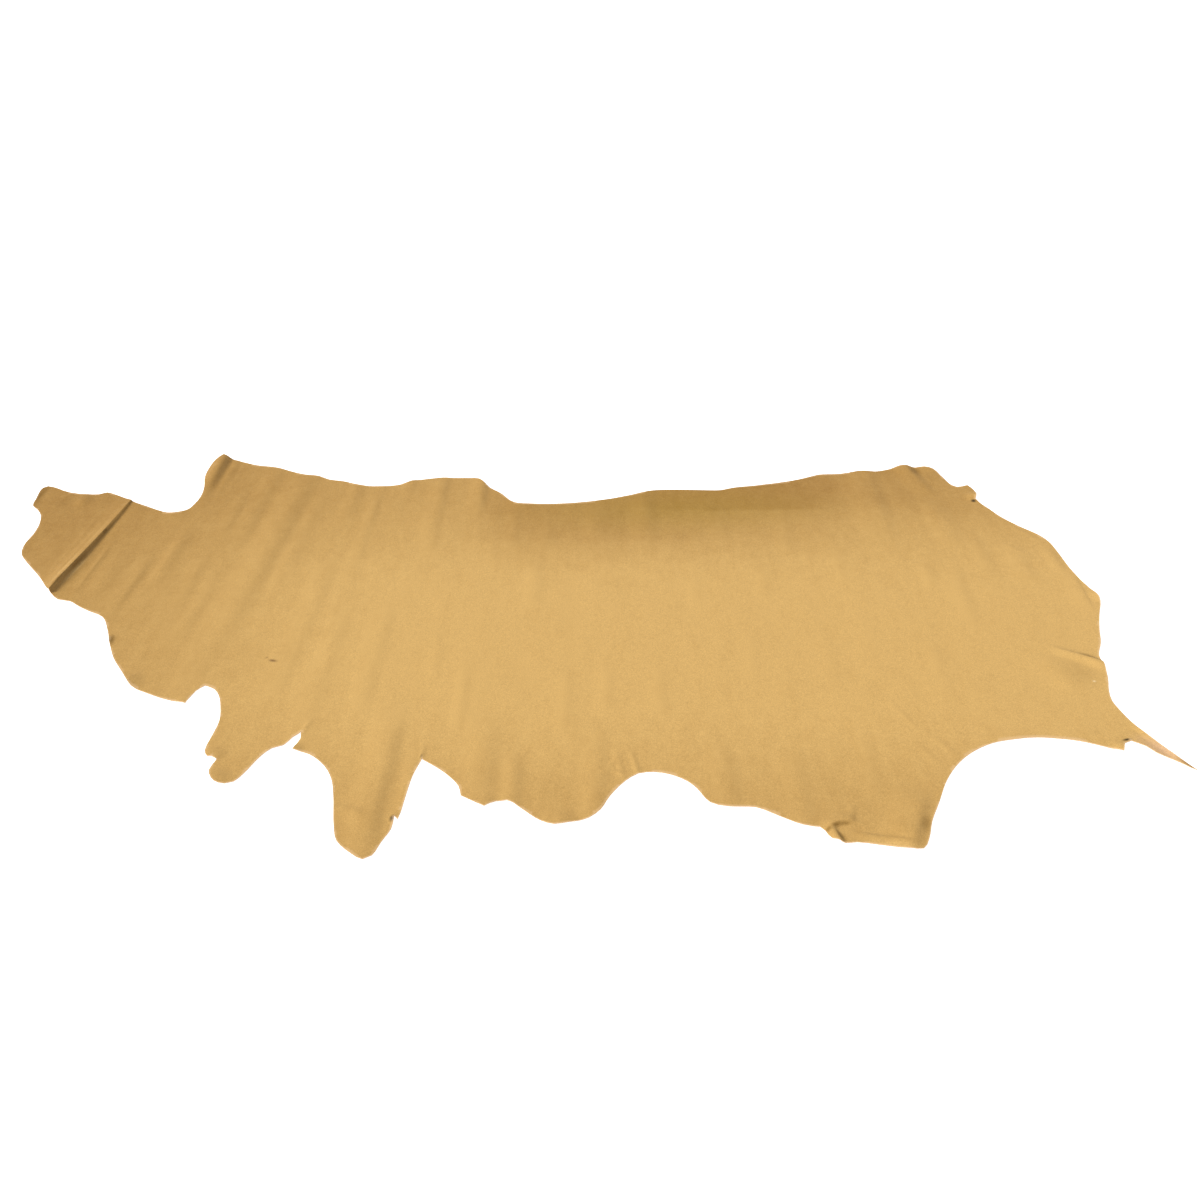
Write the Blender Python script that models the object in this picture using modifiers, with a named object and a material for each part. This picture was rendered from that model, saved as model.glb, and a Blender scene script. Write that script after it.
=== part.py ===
"""Leather side: half of one tanned hide, laid grain side up on a flat surface. Metres, +Z up.

The back line lies along +Y, the belly and shanks along -Y, the neck at -X and the butt at +X.
The origin is the middle of the outline's box, on the surface that the leather rests on.
"""

import math
from collections import namedtuple

import bmesh
import bpy
import numpy as np
from mathutils import Vector, noise
from mathutils.geometry import delaunay_2d_cdt

MM = 0.001

LEATHER_THICKNESS = 1.4 * MM

# How close the cut edge and the inner rows of the sheet are followed.
EDGE_STEP = 12 * MM
CREST_STEP = 16 * MM
ROW_STEP = 42 * MM
COLUMN_STEP_NECK = 14 * MM
COLUMN_STEP_BUTT = 22 * MM
COLUMN_CHANGE_X = -60 * MM
CREST_SAMPLES = 28

# Folds narrower or higher than this, in millimetres, get rows of their own: along the crest, and
# at these shares of each flank. No two points are closer than the gaps.
NARROW_REACH = 17
HIGH_RISE = 7.5
FLANK_ROWS = (0, 0.5, 1)
CREASE_ROWS = (0.6, 0.3, 0.1)
FOLD_STEP = 12 * MM
FOLD_GAP = 6.5 * MM
EVEN_GAP = 9 * MM
EDGE_GAP = 5.5 * MM

# Both sides of the crease are hollow by this power; each fold runs out over this share of its length
# at both ends; where a lifted edge meets a fold, this share of the lower one adds to the higher.
CREASE_POWER = 2.4
RUN_OUT = 0.35
LIFT_ON_FOLD = 0.3

# How far a ripple's crest sways sideways and how much its rise varies, and over which length.
SWAY = 4 * MM
RISE_CHANGE = 0.45
SWAY_LENGTH = 130 * MM
SHORTEST_SWAYING = 150 * MM

# For the triangulation: keep the inside of the ring only, and join points closer than this.
INSIDE_ONLY = 1
SAME_POINT = 0.001 * MM

GRAIN_COLOUR = (0.66, 0.415, 0.155, 1.0)
GRAIN_ROUGHNESS = 0.46

# The cut edge, clockwise from the neck's tip as seen from above. Each row is one landmark:
# x and y in millimetres and how the knife goes through it, round or with a corner.
ROUND, CORNER = 0, 1
Cut = namedtuple("Cut", "x y turn")

NECK_TOP = (
    Cut(-1136, 501, ROUND),
    Cut(-1115, 495, ROUND),
    Cut(-1096, 483, ROUND),
    Cut(-1068, 471, ROUND),
    Cut(-1035, 465, ROUND),
    Cut(-1006, 465, CORNER),
    Cut(-990, 473, ROUND),
    Cut(-968, 464, ROUND),
    Cut(-923, 434, ROUND),
    Cut(-880, 410, ROUND),
    Cut(-845, 390, ROUND),
    Cut(-812, 378, ROUND),
    Cut(-784, 391, ROUND),
    Cut(-773, 420, ROUND),
    Cut(-768, 454, ROUND),
    Cut(-771, 493, ROUND),
    Cut(-783, 542, ROUND),
    Cut(-786, 588, ROUND),
    Cut(-781, 630, ROUND),
    Cut(-766, 650, CORNER),
)

SHOULDER_BACK = (
    Cut(-755, 643, ROUND),
    Cut(-733, 633, ROUND),
    Cut(-700, 618, ROUND),
    Cut(-675, 608, ROUND),
    Cut(-645, 601, ROUND),
    Cut(-610, 588, ROUND),
    Cut(-550, 558, ROUND),
    Cut(-515, 552, ROUND),
    Cut(-490, 537, ROUND),
    Cut(-450, 526, ROUND),
    Cut(-415, 509, ROUND),
    Cut(-385, 504, ROUND),
    Cut(-345, 505, ROUND),
    Cut(-318, 512, ROUND),
    Cut(-295, 528, ROUND),
    Cut(-265, 536, ROUND),
    Cut(-235, 542, ROUND),
    Cut(-190, 544, ROUND),
    Cut(-149, 542, ROUND),
    Cut(-137, 535, ROUND),
)

LOIN_BACK = (
    Cut(-110, 498, ROUND),
    Cut(-80, 468, ROUND),
    Cut(-55, 432, ROUND),
    Cut(-38, 420, ROUND),
    Cut(0, 420, ROUND),
    Cut(60, 422, ROUND),
    Cut(110, 429, ROUND),
    Cut(160, 441, ROUND),
    Cut(215, 461, ROUND),
    Cut(270, 483, ROUND),
    Cut(300, 486, ROUND),
    Cut(400, 484, ROUND),
    Cut(425, 485, ROUND),
    Cut(455, 496, ROUND),
)

RUMP_BACK = (
    Cut(520, 509, ROUND),
    Cut(600, 531, ROUND),
    Cut(640, 549, ROUND),
    Cut(665, 561, ROUND),
    Cut(710, 564, ROUND),
    Cut(735, 568, ROUND),
    Cut(765, 576, ROUND),
    Cut(800, 575, ROUND),
    Cut(835, 586, ROUND),
    Cut(864, 600, ROUND),
    Cut(881, 602, ROUND),
    Cut(900, 596, ROUND),
    Cut(922, 598, ROUND),
    Cut(942, 586, ROUND),
)

BUTT = (
    Cut(954, 550, ROUND),
    Cut(966, 509, ROUND),
    Cut(977, 500, ROUND),
    Cut(1003, 509, CORNER),
    Cut(1012, 486, ROUND),
    Cut(1011, 461, ROUND),
    Cut(1003, 437, CORNER),
    Cut(1022, 401, ROUND),
    Cut(1039, 364, ROUND),
    Cut(1064, 327, ROUND),
    Cut(1101, 283, ROUND),
    Cut(1114, 255, ROUND),
    Cut(1120, 212, ROUND),
    Cut(1125, 150, ROUND),
    Cut(1133, 102, ROUND),
    Cut(1147, 49, ROUND),
    Cut(1146, 25, ROUND),
    Cut(1128, -22, ROUND),
    Cut(1111, -72, ROUND),
    Cut(1099, -114, ROUND),
    Cut(1081, -157, ROUND),
    Cut(1080, -189, ROUND),
)

TAIL_STRIP = (
    Cut(1074, -224, ROUND),
    Cut(1062, -264, ROUND),
    Cut(1058, -291, ROUND),
    Cut(1062, -316, ROUND),
    Cut(1075, -362, ROUND),
    Cut(1091, -400, ROUND),
    Cut(1116, -447, ROUND),
    Cut(1136, -474, CORNER),
    Cut(1124, -466, ROUND),
    Cut(1106, -448, ROUND),
    Cut(1084, -430, ROUND),
    Cut(1072, -413, ROUND),
    Cut(1052, -399, CORNER),
    Cut(1040, -405, ROUND),
    Cut(1029, -428, CORNER),
)

HIND_SHANK = (
    Cut(1005, -416, ROUND),
    Cut(965, -400, ROUND),
    Cut(930, -393, ROUND),
    Cut(895, -390, ROUND),
    Cut(850, -396, ROUND),
    Cut(815, -405, ROUND),
    Cut(780, -424, ROUND),
    Cut(745, -455, ROUND),
    Cut(715, -497, ROUND),
    Cut(690, -549, ROUND),
    Cut(669, -592, ROUND),
    Cut(656, -629, ROUND),
    Cut(643, -650, ROUND),
    Cut(618, -651, ROUND),
    Cut(578, -643, ROUND),
    Cut(543, -637, ROUND),
    Cut(520, -639, ROUND),
    Cut(505, -631, ROUND),
    Cut(497, -614, ROUND),
    Cut(490, -605, CORNER),
)

FLANK = (
    Cut(465, -600, ROUND),
    Cut(430, -580, ROUND),
    Cut(395, -560, ROUND),
    Cut(350, -559, ROUND),
    Cut(323, -549, ROUND),
    Cut(304, -517, ROUND),
    Cut(289, -499, ROUND),
    Cut(262, -483, ROUND),
    Cut(235, -477, ROUND),
    Cut(210, -481, ROUND),
    Cut(187, -500, ROUND),
    Cut(163, -534, ROUND),
    Cut(148, -566, ROUND),
    Cut(130, -584, ROUND),
    Cut(100, -594, ROUND),
    Cut(75, -600, ROUND),
    Cut(52, -590, ROUND),
    Cut(20, -562, ROUND),
    Cut(-3, -546, ROUND),
    Cut(-20, -547, ROUND),
    Cut(-38, -560, CORNER),
    Cut(-78, -534, CORNER),
)

FORE_SHANK = (
    Cut(-84, -511, ROUND),
    Cut(-110, -479, ROUND),
    Cut(-151, -446, CORNER),
    Cut(-161, -490, ROUND),
    Cut(-166, -540, ROUND),
    Cut(-169, -577, ROUND),
    Cut(-171, -590, CORNER),
    Cut(-178, -582, CORNER),
    Cut(-179, -608, ROUND),
    Cut(-190, -636, ROUND),
    Cut(-200, -665, ROUND),
    Cut(-213, -674, ROUND),
    Cut(-234, -661, ROUND),
    Cut(-260, -634, ROUND),
    Cut(-270, -602, ROUND),
    Cut(-283, -535, ROUND),
    Cut(-294, -494, ROUND),
    Cut(-311, -463, ROUND),
    Cut(-342, -434, ROUND),
    Cut(-372, -424, CORNER),
)

BRISKET = (
    Cut(-365, -394, CORNER),
    Cut(-367, -377, CORNER),
    Cut(-379, -390, ROUND),
    Cut(-390, -410, ROUND),
    Cut(-408, -418, ROUND),
    Cut(-422, -437, ROUND),
    Cut(-440, -480, ROUND),
    Cut(-452, -500, ROUND),
    Cut(-466, -506, ROUND),
    Cut(-484, -502, ROUND),
    Cut(-500, -473, ROUND),
    Cut(-494, -447, CORNER),
    Cut(-504, -441, ROUND),
    Cut(-511, -441, ROUND),
    Cut(-520, -424, ROUND),
    Cut(-518, -386, ROUND),
    Cut(-516, -346, ROUND),
    Cut(-524, -309, ROUND),
    Cut(-535, -277, ROUND),
    Cut(-548, -258, ROUND),
    Cut(-568, -247, CORNER),
    Cut(-580, -262, ROUND),
    Cut(-588, -300, CORNER),
)

CHEST_AND_NECK = (
    Cut(-640, -282, ROUND),
    Cut(-674, -265, ROUND),
    Cut(-700, -251, ROUND),
    Cut(-732, -206, ROUND),
    Cut(-762, -163, ROUND),
    Cut(-782, -123, ROUND),
    Cut(-802, -77, ROUND),
    Cut(-828, -30, ROUND),
    Cut(-861, -10, ROUND),
    Cut(-886, 6, ROUND),
    Cut(-913, 26, ROUND),
    Cut(-940, 33, ROUND),
    Cut(-957, 49, ROUND),
    Cut(-967, 57, ROUND),
    Cut(-1005, 111, ROUND),
    Cut(-1061, 177, ROUND),
    Cut(-1081, 206, ROUND),
    Cut(-1089, 243, ROUND),
    Cut(-1087, 290, ROUND),
    Cut(-1092, 335, ROUND),
    Cut(-1104, 370, ROUND),
    Cut(-1122, 396, ROUND),
    Cut(-1137, 411, ROUND),
    Cut(-1140, 436, ROUND),
    Cut(-1144, 471, ROUND),
    Cut(-1143, 490, ROUND),
)

CUT_EDGE = (
    NECK_TOP
    + SHOULDER_BACK
    + LOIN_BACK
    + RUMP_BACK
    + BUTT
    + TAIL_STRIP
    + HIND_SHANK
    + FLANK
    + FORE_SHANK
    + BRISKET
    + CHEST_AND_NECK
)

# Each row is one fold or ripple: its crest runs from x0, y0 to x1, y1 and bows to its left by bow,
# it rises by rise0 at the start and rise1 at the end, and its flanks reach left and right of it.
# All in millimetres. peak is round for a soft ripple and sharp for a pinched crease.
SHARP = 1
Fold = namedtuple("Fold", "name x0 y0 x1 y1 bow rise0 rise1 left right peak")

NECK_FOLDS = (
    Fold("neck crease", -993, -150, -906, 640, -10.7, 15.0, 1.0, 60, 14, SHARP),
    Fold("crease foot", -987, -60, -938, 320, -4, 3.2, 1.0, 46, 34, ROUND),
    Fold("neck tip curl", -1148, 380, -1150, 530, 0, 4.0, 5.0, 14, 24, ROUND),
    Fold("neck ripple", -915, 10, -901, 290, 0, 1.2, 0.8, 12, 11, ROUND),
    Fold("neck roll", -876, 0, -862, 250, 0, 2.0, 1.0, 26, 40, ROUND),
    Fold("collar ripple 1", -816, -60, -804, 250, 0, 1.4, 1.0, 46, 18, ROUND),
    Fold("collar ripple 2", -766, 60, -754, 330, 0, 1.6, 1.4, 22, 28, ROUND),
    Fold("shoulder curl", -764, 400, -760, 740, 0, 3.0, 14.0, 34, 25, ROUND),
    Fold("shoulder ripple", -735, 440, -727, 660, 0, 1.0, 1.4, 16, 18, ROUND),
)

SHOULDER_RIPPLES = (
    Fold("ripple 1", -694, -20, -688, 230, 0, 1.2, 1.0, 28, 22, ROUND),
    Fold("ripple 2", -670, -160, -642, 180, -4, 0.9, 0.8, 26, 22, ROUND),
    Fold("ripple 3", -676, 250, -668, 480, 0, 1.0, 1.0, 30, 18, ROUND),
    Fold("ripple 4", -634, 180, -618, 700, 0, 1.4, 2.2, 36, 28, ROUND),
    Fold("ripple 5", -606, -340, -528, 760, -6, 2.8, 4.2, 60, 42, ROUND),
    Fold("ripple 6", -516, 20, -488, 540, 0, 1.1, 1.5, 28, 34, ROUND),
    Fold("ripple 7", -440, -380, -416, 260, 0, 1.3, 1.6, 44, 28, ROUND),
    Fold("ripple 8", -424, 290, -410, 580, 0, 1.3, 1.8, 30, 26, ROUND),
    Fold("ripple 9", -366, 80, -360, 560, 0, 0.9, 1.3, 26, 17, ROUND),
    Fold("ripple 10", -368, -440, -357, 80, 0, 1.5, 0.9, 38, 28, ROUND),
    Fold("ripple 11", -277, -400, -274, 90, 0, 1.7, 0.9, 40, 28, ROUND),
    Fold("ripple 12", -294, 430, -296, 600, 0, 1.0, 2.2, 30, 20, ROUND),
    Fold("ripple 13", -216, 150, -222, 640, 0, 0.8, 2.8, 38, 22, ROUND),
    Fold("ripple 14", -132, 330, -120, 640, 0, 0.6, 6.5, 38, 20, ROUND),
    Fold("ripple 15", 248, 200, 250, 520, 0, 2.0, 2.6, 44, 36, ROUND),
    Fold("ripple 16", 136, 230, 140, 440, 0, 1.4, 1.4, 34, 38, ROUND),
)

BELLY_FOLDS = (
    Fold("fore shank fold", -219, -740, -209, -270, 0, 5.0, 2.2, 50, 28, ROUND),
    Fold("fore shank rim", -170, -640, -160, -400, 0, 2.4, 1.4, 20, 22, ROUND),
    Fold("fore shank dent", -286, -570, -226, -592, 12, 1.4, 2.0, 16, 26, ROUND),
    Fold("belly ripple 1", -50, -600, -48, -310, 0, 3.0, 1.6, 44, 36, ROUND),
    Fold("belly ripple 2", 2, -620, 6, -400, 0, 2.8, 1.8, 24, 22, ROUND),
    Fold("belly ripple 3", 138, -640, 148, -330, 0, 3.0, 1.6, 36, 24, ROUND),
    Fold("belly wrinkle 1", 190, -505, 172, -410, 2, 0.9, 0.5, 9, 9, ROUND),
    Fold("belly wrinkle 2", 212, -495, 197, -415, 0, 1.1, 0.7, 9, 8, ROUND),
    Fold("flank ripple 1", 356, -620, 352, -370, 0, 2.0, 1.2, 36, 30, ROUND),
    Fold("flank ripple 2", 468, -650, 472, -400, 0, 2.0, 1.2, 34, 28, ROUND),
    Fold("hind pleat", 494, -620, 556, -588, 10, 5.0, 3.5, 24, 10, ROUND),
    Fold("pleat branch", 507, -600, 520, -650, 0, 3.0, 6.0, 9, 15, ROUND),
    Fold("pleat run-out", 538, -606, 552, -550, 0, 1.4, 0.9, 12, 9, ROUND),
    Fold("hind line", 530, -616, 648, -646, 0, 2.6, 2.0, 9, 20, ROUND),
    Fold("hind hem", 560, -668, 664, -672, 0, 3.0, 3.0, 22, 16, ROUND),
    Fold("hind corner curl", 614, -668, 676, -510, 0, 10.0, 2.5, 60, 24, ROUND),
)

BUTT_FOLDS = (
    Fold("butt crease", 985, -122, 1106, -199, 0, 1.2, 7.0, 13, 26, ROUND),
    Fold("butt dent", 1006, -280, 984, -150, 0, 2.4, 2.4, 46, 66, ROUND),
    Fold("butt ripple 1", 1030, 80, 1032, 250, 4, 1.6, 1.6, 44, 26, ROUND),
    Fold("butt ripple 2", 1107, 120, 1100, 240, 0, 1.4, 1.4, 24, 16, ROUND),
    Fold("butt edge ripple", 1116, -20, 1122, 140, 0, 1.5, 1.5, 40, 10, ROUND),
    Fold("rump ripple 1", 764, 200, 778, 680, 0, 1.6, 4.0, 74, 36, ROUND),
    Fold("rump ripple 2", 916, 420, 858, 670, 0, 1.2, 6.0, 48, 24, ROUND),
    Fold("rump ripple 3", 905, 200, 900, 460, 0, 2.0, 2.0, 46, 42, ROUND),
    Fold("tail strip roll", 1134, -474, 1064, -340, 3, 7.0, 1.5, 13, 13, ROUND),
)

FOLDS = NECK_FOLDS + SHOULDER_RIPPLES + BELLY_FOLDS + BUTT_FOLDS

# Each row is one place where an edge or a corner stands off the surface: its middle, reach and rise.
Lift = namedtuple("Lift", "name x y reach rise")

LIFTS = (
    Lift("neck hollow rim", -1030, 430, 34, 2.4),
    Lift("neck bay", -806, 378, 34, 2.0),
    Lift("hind lobe", 508, -632, 18, 2.0),
    Lift("chest curl 1", -799, -112, 27, 6.0),
    Lift("chest curl 2", -712, -240, 38, 5.0),
    Lift("chest point", -590, -297, 30, 3.0),
    Lift("brisket flap", -504, -434, 24, 3.5),
    Lift("brisket lobe", -486, -494, 34, 4.0),
    Lift("brisket tab", -372, -422, 22, 3.5),
    Lift("fore shank notch", -172, -584, 20, 2.5),
    Lift("belly point", -38, -556, 28, 2.5),
    Lift("belly lobe", 80, -594, 40, 2.5),
    Lift("hind spur", 1032, -420, 24, 4.5),
    Lift("butt bulge", 1154, 44, 32, 4.0),
    Lift("butt tab", 1012, 450, 34, 6.5),
    Lift("butt corner", 934, 600, 44, 3.0),
    Lift("back bay", -30, 428, 44, 2.5),
)


def curve_through(knots, step):
    """Points along the smooth curve through the knots, about step apart, without the last knot."""
    knots = np.array(knots, float)
    ends = np.vstack([2 * knots[0] - knots[1], knots, 2 * knots[-1] - knots[-2]])
    made = []
    for before, start, end, after in zip(ends, ends[1:], ends[2:], ends[3:]):
        span_before, span, span_after = (
            math.sqrt(np.linalg.norm(b - a)) for a, b in ((before, start), (start, end), (end, after))
        )
        leave = (start - before) / span_before - (end - before) / (span_before + span)
        leave = (leave + (end - start) / span) * span
        arrive = (end - start) / span - (after - start) / (span + span_after)
        arrive = (arrive + (after - end) / span_after) * span
        count = max(1, round(np.linalg.norm(end - start) / step))
        for t in np.arange(count) / count:
            blend = t * t * (3 - 2 * t)
            place = start * (1 - blend) + end * blend
            made.append(place + leave * t * (1 - t) ** 2 - arrive * t * t * (1 - t))
    return made


def cut_edge(rows, step):
    """The whole cut edge as one closed ring of points, with each corner kept."""
    knots = [(row.x * MM, row.y * MM) for row in rows]
    corners = [i for i, row in enumerate(rows) if row.turn == CORNER]
    ring = []
    for here, there in zip(corners, corners[1:] + [corners[0] + len(rows)]):
        run = [knots[i % len(rows)] for i in range(here, there + 1)]
        ring += curve_through(run, step)
    return np.array(ring)


def unrest(fold, t, channel):
    """A smooth change between -1 and 1 along a fold, which short or pinched folds don't have."""
    length = math.hypot(fold.x1 - fold.x0, fold.y1 - fold.y0) * MM
    if length < SHORTEST_SWAYING or fold.peak == SHARP:
        return np.zeros(len(t))
    return np.array([
        noise.noise(Vector((fold.x0 * MM, s * length / SWAY_LENGTH, channel))) for s in t
    ])


def crest_line(fold, samples):
    """Points along a fold's crest, from its start to its end."""
    start = np.array((fold.x0, fold.y0)) * MM
    end = np.array((fold.x1, fold.y1)) * MM
    along = end - start
    to_left = np.array((-along[1], along[0])) / np.linalg.norm(along)
    t = np.linspace(0, 1, samples)
    aside = fold.bow * MM * 4 * t * (1 - t) + SWAY * unrest(fold, t, 0)
    return start + along * t[:, None] + to_left * aside[:, None]


def fold_height(fold, places):
    """How high a fold lifts the leather at each place."""
    crest = crest_line(fold, CREST_SAMPLES)
    starts = crest[:-1]
    legs = crest[1:] - starts
    reach = places[:, None] - starts[None]
    share = (reach * legs).sum(axis=2) / (legs * legs).sum(axis=1)
    share = np.clip(share, 0, 1)
    away = reach - legs * share[..., None]
    distance = np.linalg.norm(away, axis=2)
    nearest = distance.argmin(axis=1)
    rows = np.arange(len(places))
    leg = legs[nearest]
    offset = away[rows, nearest]
    on_left = leg[:, 0] * offset[:, 1] - leg[:, 1] * offset[:, 0] > 0
    flank = np.where(on_left, fold.left, fold.right) * MM
    u = np.clip(distance[rows, nearest] / flank, 0, 1)
    if fold.peak == SHARP:
        profile = (1 - u) ** CREASE_POWER
    else:
        profile = 0.5 + 0.5 * np.cos(math.pi * u)
    t = (nearest + share[rows, nearest]) / len(legs)
    run_out = np.clip(np.minimum(t, 1 - t) / RUN_OUT, 0, 1)
    run_out = run_out * run_out * (3 - 2 * run_out)
    rise = fold.rise0 + (fold.rise1 - fold.rise0) * t
    knots = np.linspace(0, 1, CREST_SAMPLES)
    rise = rise * (1 + RISE_CHANGE * np.interp(t, knots, unrest(fold, knots, 1)))
    return rise * MM * profile * run_out


def lift_height(lift, places):
    """How high a lifted edge stands at each place."""
    away = np.linalg.norm(places - np.array((lift.x, lift.y)) * MM, axis=1)
    u = np.clip(away / (lift.reach * MM), 0, 1)
    return lift.rise * MM * (0.5 + 0.5 * np.cos(math.pi * u))


def surface_height(places):
    """The height of the leather's underside over the surface that it lies on."""
    height = np.zeros(len(places))
    for fold in FOLDS:
        height += fold_height(fold, places)
    for lift in LIFTS:
        lifted = lift_height(lift, places)
        height = np.maximum(height, lifted) + LIFT_ON_FOLD * np.minimum(height, lifted)
    return height


def inside_of(ring, places):
    """Whether each place lies inside the ring."""
    inside = np.zeros(len(places), bool)
    for a, b in zip(ring, np.roll(ring, -1, axis=0)):
        crosses = (a[1] > places[:, 1]) != (b[1] > places[:, 1])
        with np.errstate(divide="ignore", invalid="ignore"):
            x = a[0] + (places[:, 1] - a[1]) * (b[0] - a[0]) / (b[1] - a[1])
        inside ^= crosses & (places[:, 0] < x)
    return inside


def clear_of(line, places, gap, is_ring):
    """Whether each place keeps the gap from the line."""
    clear = np.ones(len(places), bool)
    ends = np.roll(line, -1, axis=0) if is_ring else line[1:]
    for a, b in zip(line, ends):
        leg = b - a
        share = np.clip(((places - a) @ leg) / (leg @ leg), 0, 1)
        clear &= np.linalg.norm(places - a - share[:, None] * leg, axis=1) > gap
    return clear


def strong_fold_places():
    """Rows of places along the crests and flanks of the folds that are narrow or stand high."""
    places = []
    for fold in FOLDS:
        narrow = min(fold.left, fold.right) < NARROW_REACH
        if fold.peak == SHARP or not (narrow or max(fold.rise0, fold.rise1) > HIGH_RISE):
            continue
        length = math.hypot(fold.x1 - fold.x0, fold.y1 - fold.y0) * MM
        crest = crest_line(fold, round(length / FOLD_STEP) + 1)
        along = crest[-1] - crest[0]
        to_left = np.array((-along[1], along[0])) / np.linalg.norm(along)
        for share in FLANK_ROWS:
            for side in (fold.left * share, -fold.right * share):
                places += list(crest + to_left * side * MM)
    return np.array(places)


def thinned(places, kept, gap):
    """The places that keep the gap from each other and from those already kept, in order."""
    kept = list(kept)
    already = len(kept)
    for place in places:
        if not kept or np.linalg.norm(np.array(kept) - place, axis=1).min() > gap:
            kept.append(place)
    return np.array(kept[already:])


def column_places(ring):
    """The inner rows and columns: columns run from belly to back, as the ripples do."""
    columns = []
    x = ring[:, 0].min()
    while x < ring[:, 0].max():
        columns.append(x)
        x += COLUMN_STEP_NECK if x < COLUMN_CHANGE_X else COLUMN_STEP_BUTT
    rows = np.arange(ring[:, 1].min(), ring[:, 1].max(), ROW_STEP)
    return np.array([(x, y) for x in columns for y in rows])


def sheet_mesh(name):
    """The hide's underside as one triangulated sheet that follows the folds."""
    ring = cut_edge(CUT_EDGE, EDGE_STEP)
    strong = strong_fold_places()
    strong = thinned(strong[inside_of(ring, strong)], [], FOLD_GAP)
    even = column_places(ring)
    even = thinned(even[inside_of(ring, even)], strong, EVEN_GAP)
    places = np.vstack([strong, even])
    places = places[clear_of(ring, places, EDGE_GAP, True)]
    lines = []
    for fold in FOLDS:
        if fold.peak != SHARP:
            continue
        count = round(math.hypot(fold.x1 - fold.x0, fold.y1 - fold.y0) * MM / CREST_STEP)
        crest = crest_line(fold, count)
        for aside in [-fold.left * share for share in CREASE_ROWS] + [0, fold.right]:
            lines.append(crest + np.array((aside * MM, 0)))
    for line in lines:
        places = places[clear_of(line, places, EDGE_GAP, False)]
    points = [Vector(p) for p in ring]
    edges = [(i, (i + 1) % len(ring)) for i in range(len(ring))]
    for line in lines:
        first = len(points)
        points += [Vector(p) for p in line]
        edges += [(first + i, first + i + 1) for i in range(len(line) - 1)]
    points += [Vector(p) for p in places]
    flat, _, faces, _, _, _ = delaunay_2d_cdt(points, edges, [], INSIDE_ONLY, SAME_POINT)
    flat = np.array([tuple(p) for p in flat])
    height = surface_height(flat)
    flat -= (ring.max(axis=0) + ring.min(axis=0)) / 2
    mesh = bpy.data.meshes.new(name)
    mesh.from_pydata(np.column_stack([flat, height]).tolist(), [], [list(f) for f in faces])
    shaped = bmesh.new()
    shaped.from_mesh(mesh)
    bmesh.ops.recalc_face_normals(shaped, faces=shaped.faces)
    if sum(face.normal.z for face in shaped.faces) < 0:
        bmesh.ops.reverse_faces(shaped, faces=shaped.faces)
    loose = [vertex for vertex in shaped.verts if not vertex.link_faces]
    bmesh.ops.delete(shaped, geom=loose, context="VERTS")
    shaped.to_mesh(mesh)
    shaped.free()
    return mesh


def grain_material():
    material = bpy.data.materials.new("grain_leather")
    material.use_nodes = True
    shader = material.node_tree.nodes["Principled BSDF"]
    shader.inputs["Base Color"].default_value = GRAIN_COLOUR
    shader.inputs["Roughness"].default_value = GRAIN_ROUGHNESS
    return material


def main():
    for old in list(bpy.data.objects):
        bpy.data.objects.remove(old, do_unlink=True)
    collection = bpy.data.collections.new("leather_side_parts")
    bpy.context.scene.collection.children.link(collection)

    hide = bpy.data.objects.new("leather_side", sheet_mesh("leather_side"))
    collection.objects.link(hide)
    hide.data.materials.append(grain_material())
    hide.data.shade_smooth()
    thickness = hide.modifiers.new("thickness", "SOLIDIFY")
    thickness.thickness = LEATHER_THICKNESS
    thickness.offset = 1.0
    thickness.use_even_offset = True


main()
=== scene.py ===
"""Leather side: half of a tanned hide, laid grain side up on a pale studio floor."""

import math
from collections import namedtuple

import bmesh
import bpy
import numpy as np
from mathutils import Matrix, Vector, noise
from mathutils.geometry import delaunay_2d_cdt


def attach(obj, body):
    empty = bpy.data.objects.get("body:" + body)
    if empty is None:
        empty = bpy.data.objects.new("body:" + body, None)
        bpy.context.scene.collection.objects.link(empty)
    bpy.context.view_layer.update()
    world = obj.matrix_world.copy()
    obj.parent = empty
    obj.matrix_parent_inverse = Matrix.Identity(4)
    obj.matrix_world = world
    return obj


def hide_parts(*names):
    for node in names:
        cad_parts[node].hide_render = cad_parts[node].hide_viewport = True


MM = 0.001

LEATHER_THICKNESS = 1.4 * MM

# How close the cut edge and the inner rows of the sheet are followed before it is divided.
EDGE_STEP = 12 * MM
CREST_STEP = 16 * MM
ROW_STEP = 46 * MM
COLUMN_STEP_NECK = 15.5 * MM
COLUMN_STEP_BUTT = 24 * MM
COLUMN_CHANGE_X = -60 * MM
CREST_SAMPLES = 28
DIVISIONS = 3

# Folds narrower or higher than this, in millimetres, get rows of their own: along the crest, and
# at these shares of each flank. No two points are closer than the gaps.
NARROW_REACH = 17
HIGH_RISE = 7.5
FLANK_ROWS = (0, 0.5, 1)
CREASE_ROWS = (0.6, 0.3, 0.1)
FOLD_STEP = 12 * MM
FOLD_GAP = 6.5 * MM
EVEN_GAP = 9 * MM
EDGE_GAP = 5.5 * MM

# The crease's long and short side are hollow by these powers. Each fold runs out over this share of
# its length at both ends. Where a lifted edge meets a fold, this share of the lower one adds to the
# higher.
CREASE_POWER = 2.4
CREASE_DROP = 5.5
RUN_OUT = 0.35
LIFT_ON_FOLD = 0.3

# How far a ripple's crest sways sideways and how much its rise varies, and over which length.
SWAY = 4 * MM
RISE_CHANGE = 0.45
SWAY_LENGTH = 130 * MM
SHORTEST_SWAYING = 150 * MM

# For the triangulation: keep the inside of the ring only, and join points closer than this.
INSIDE_ONLY = 1
SAME_POINT = 0.001 * MM

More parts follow.
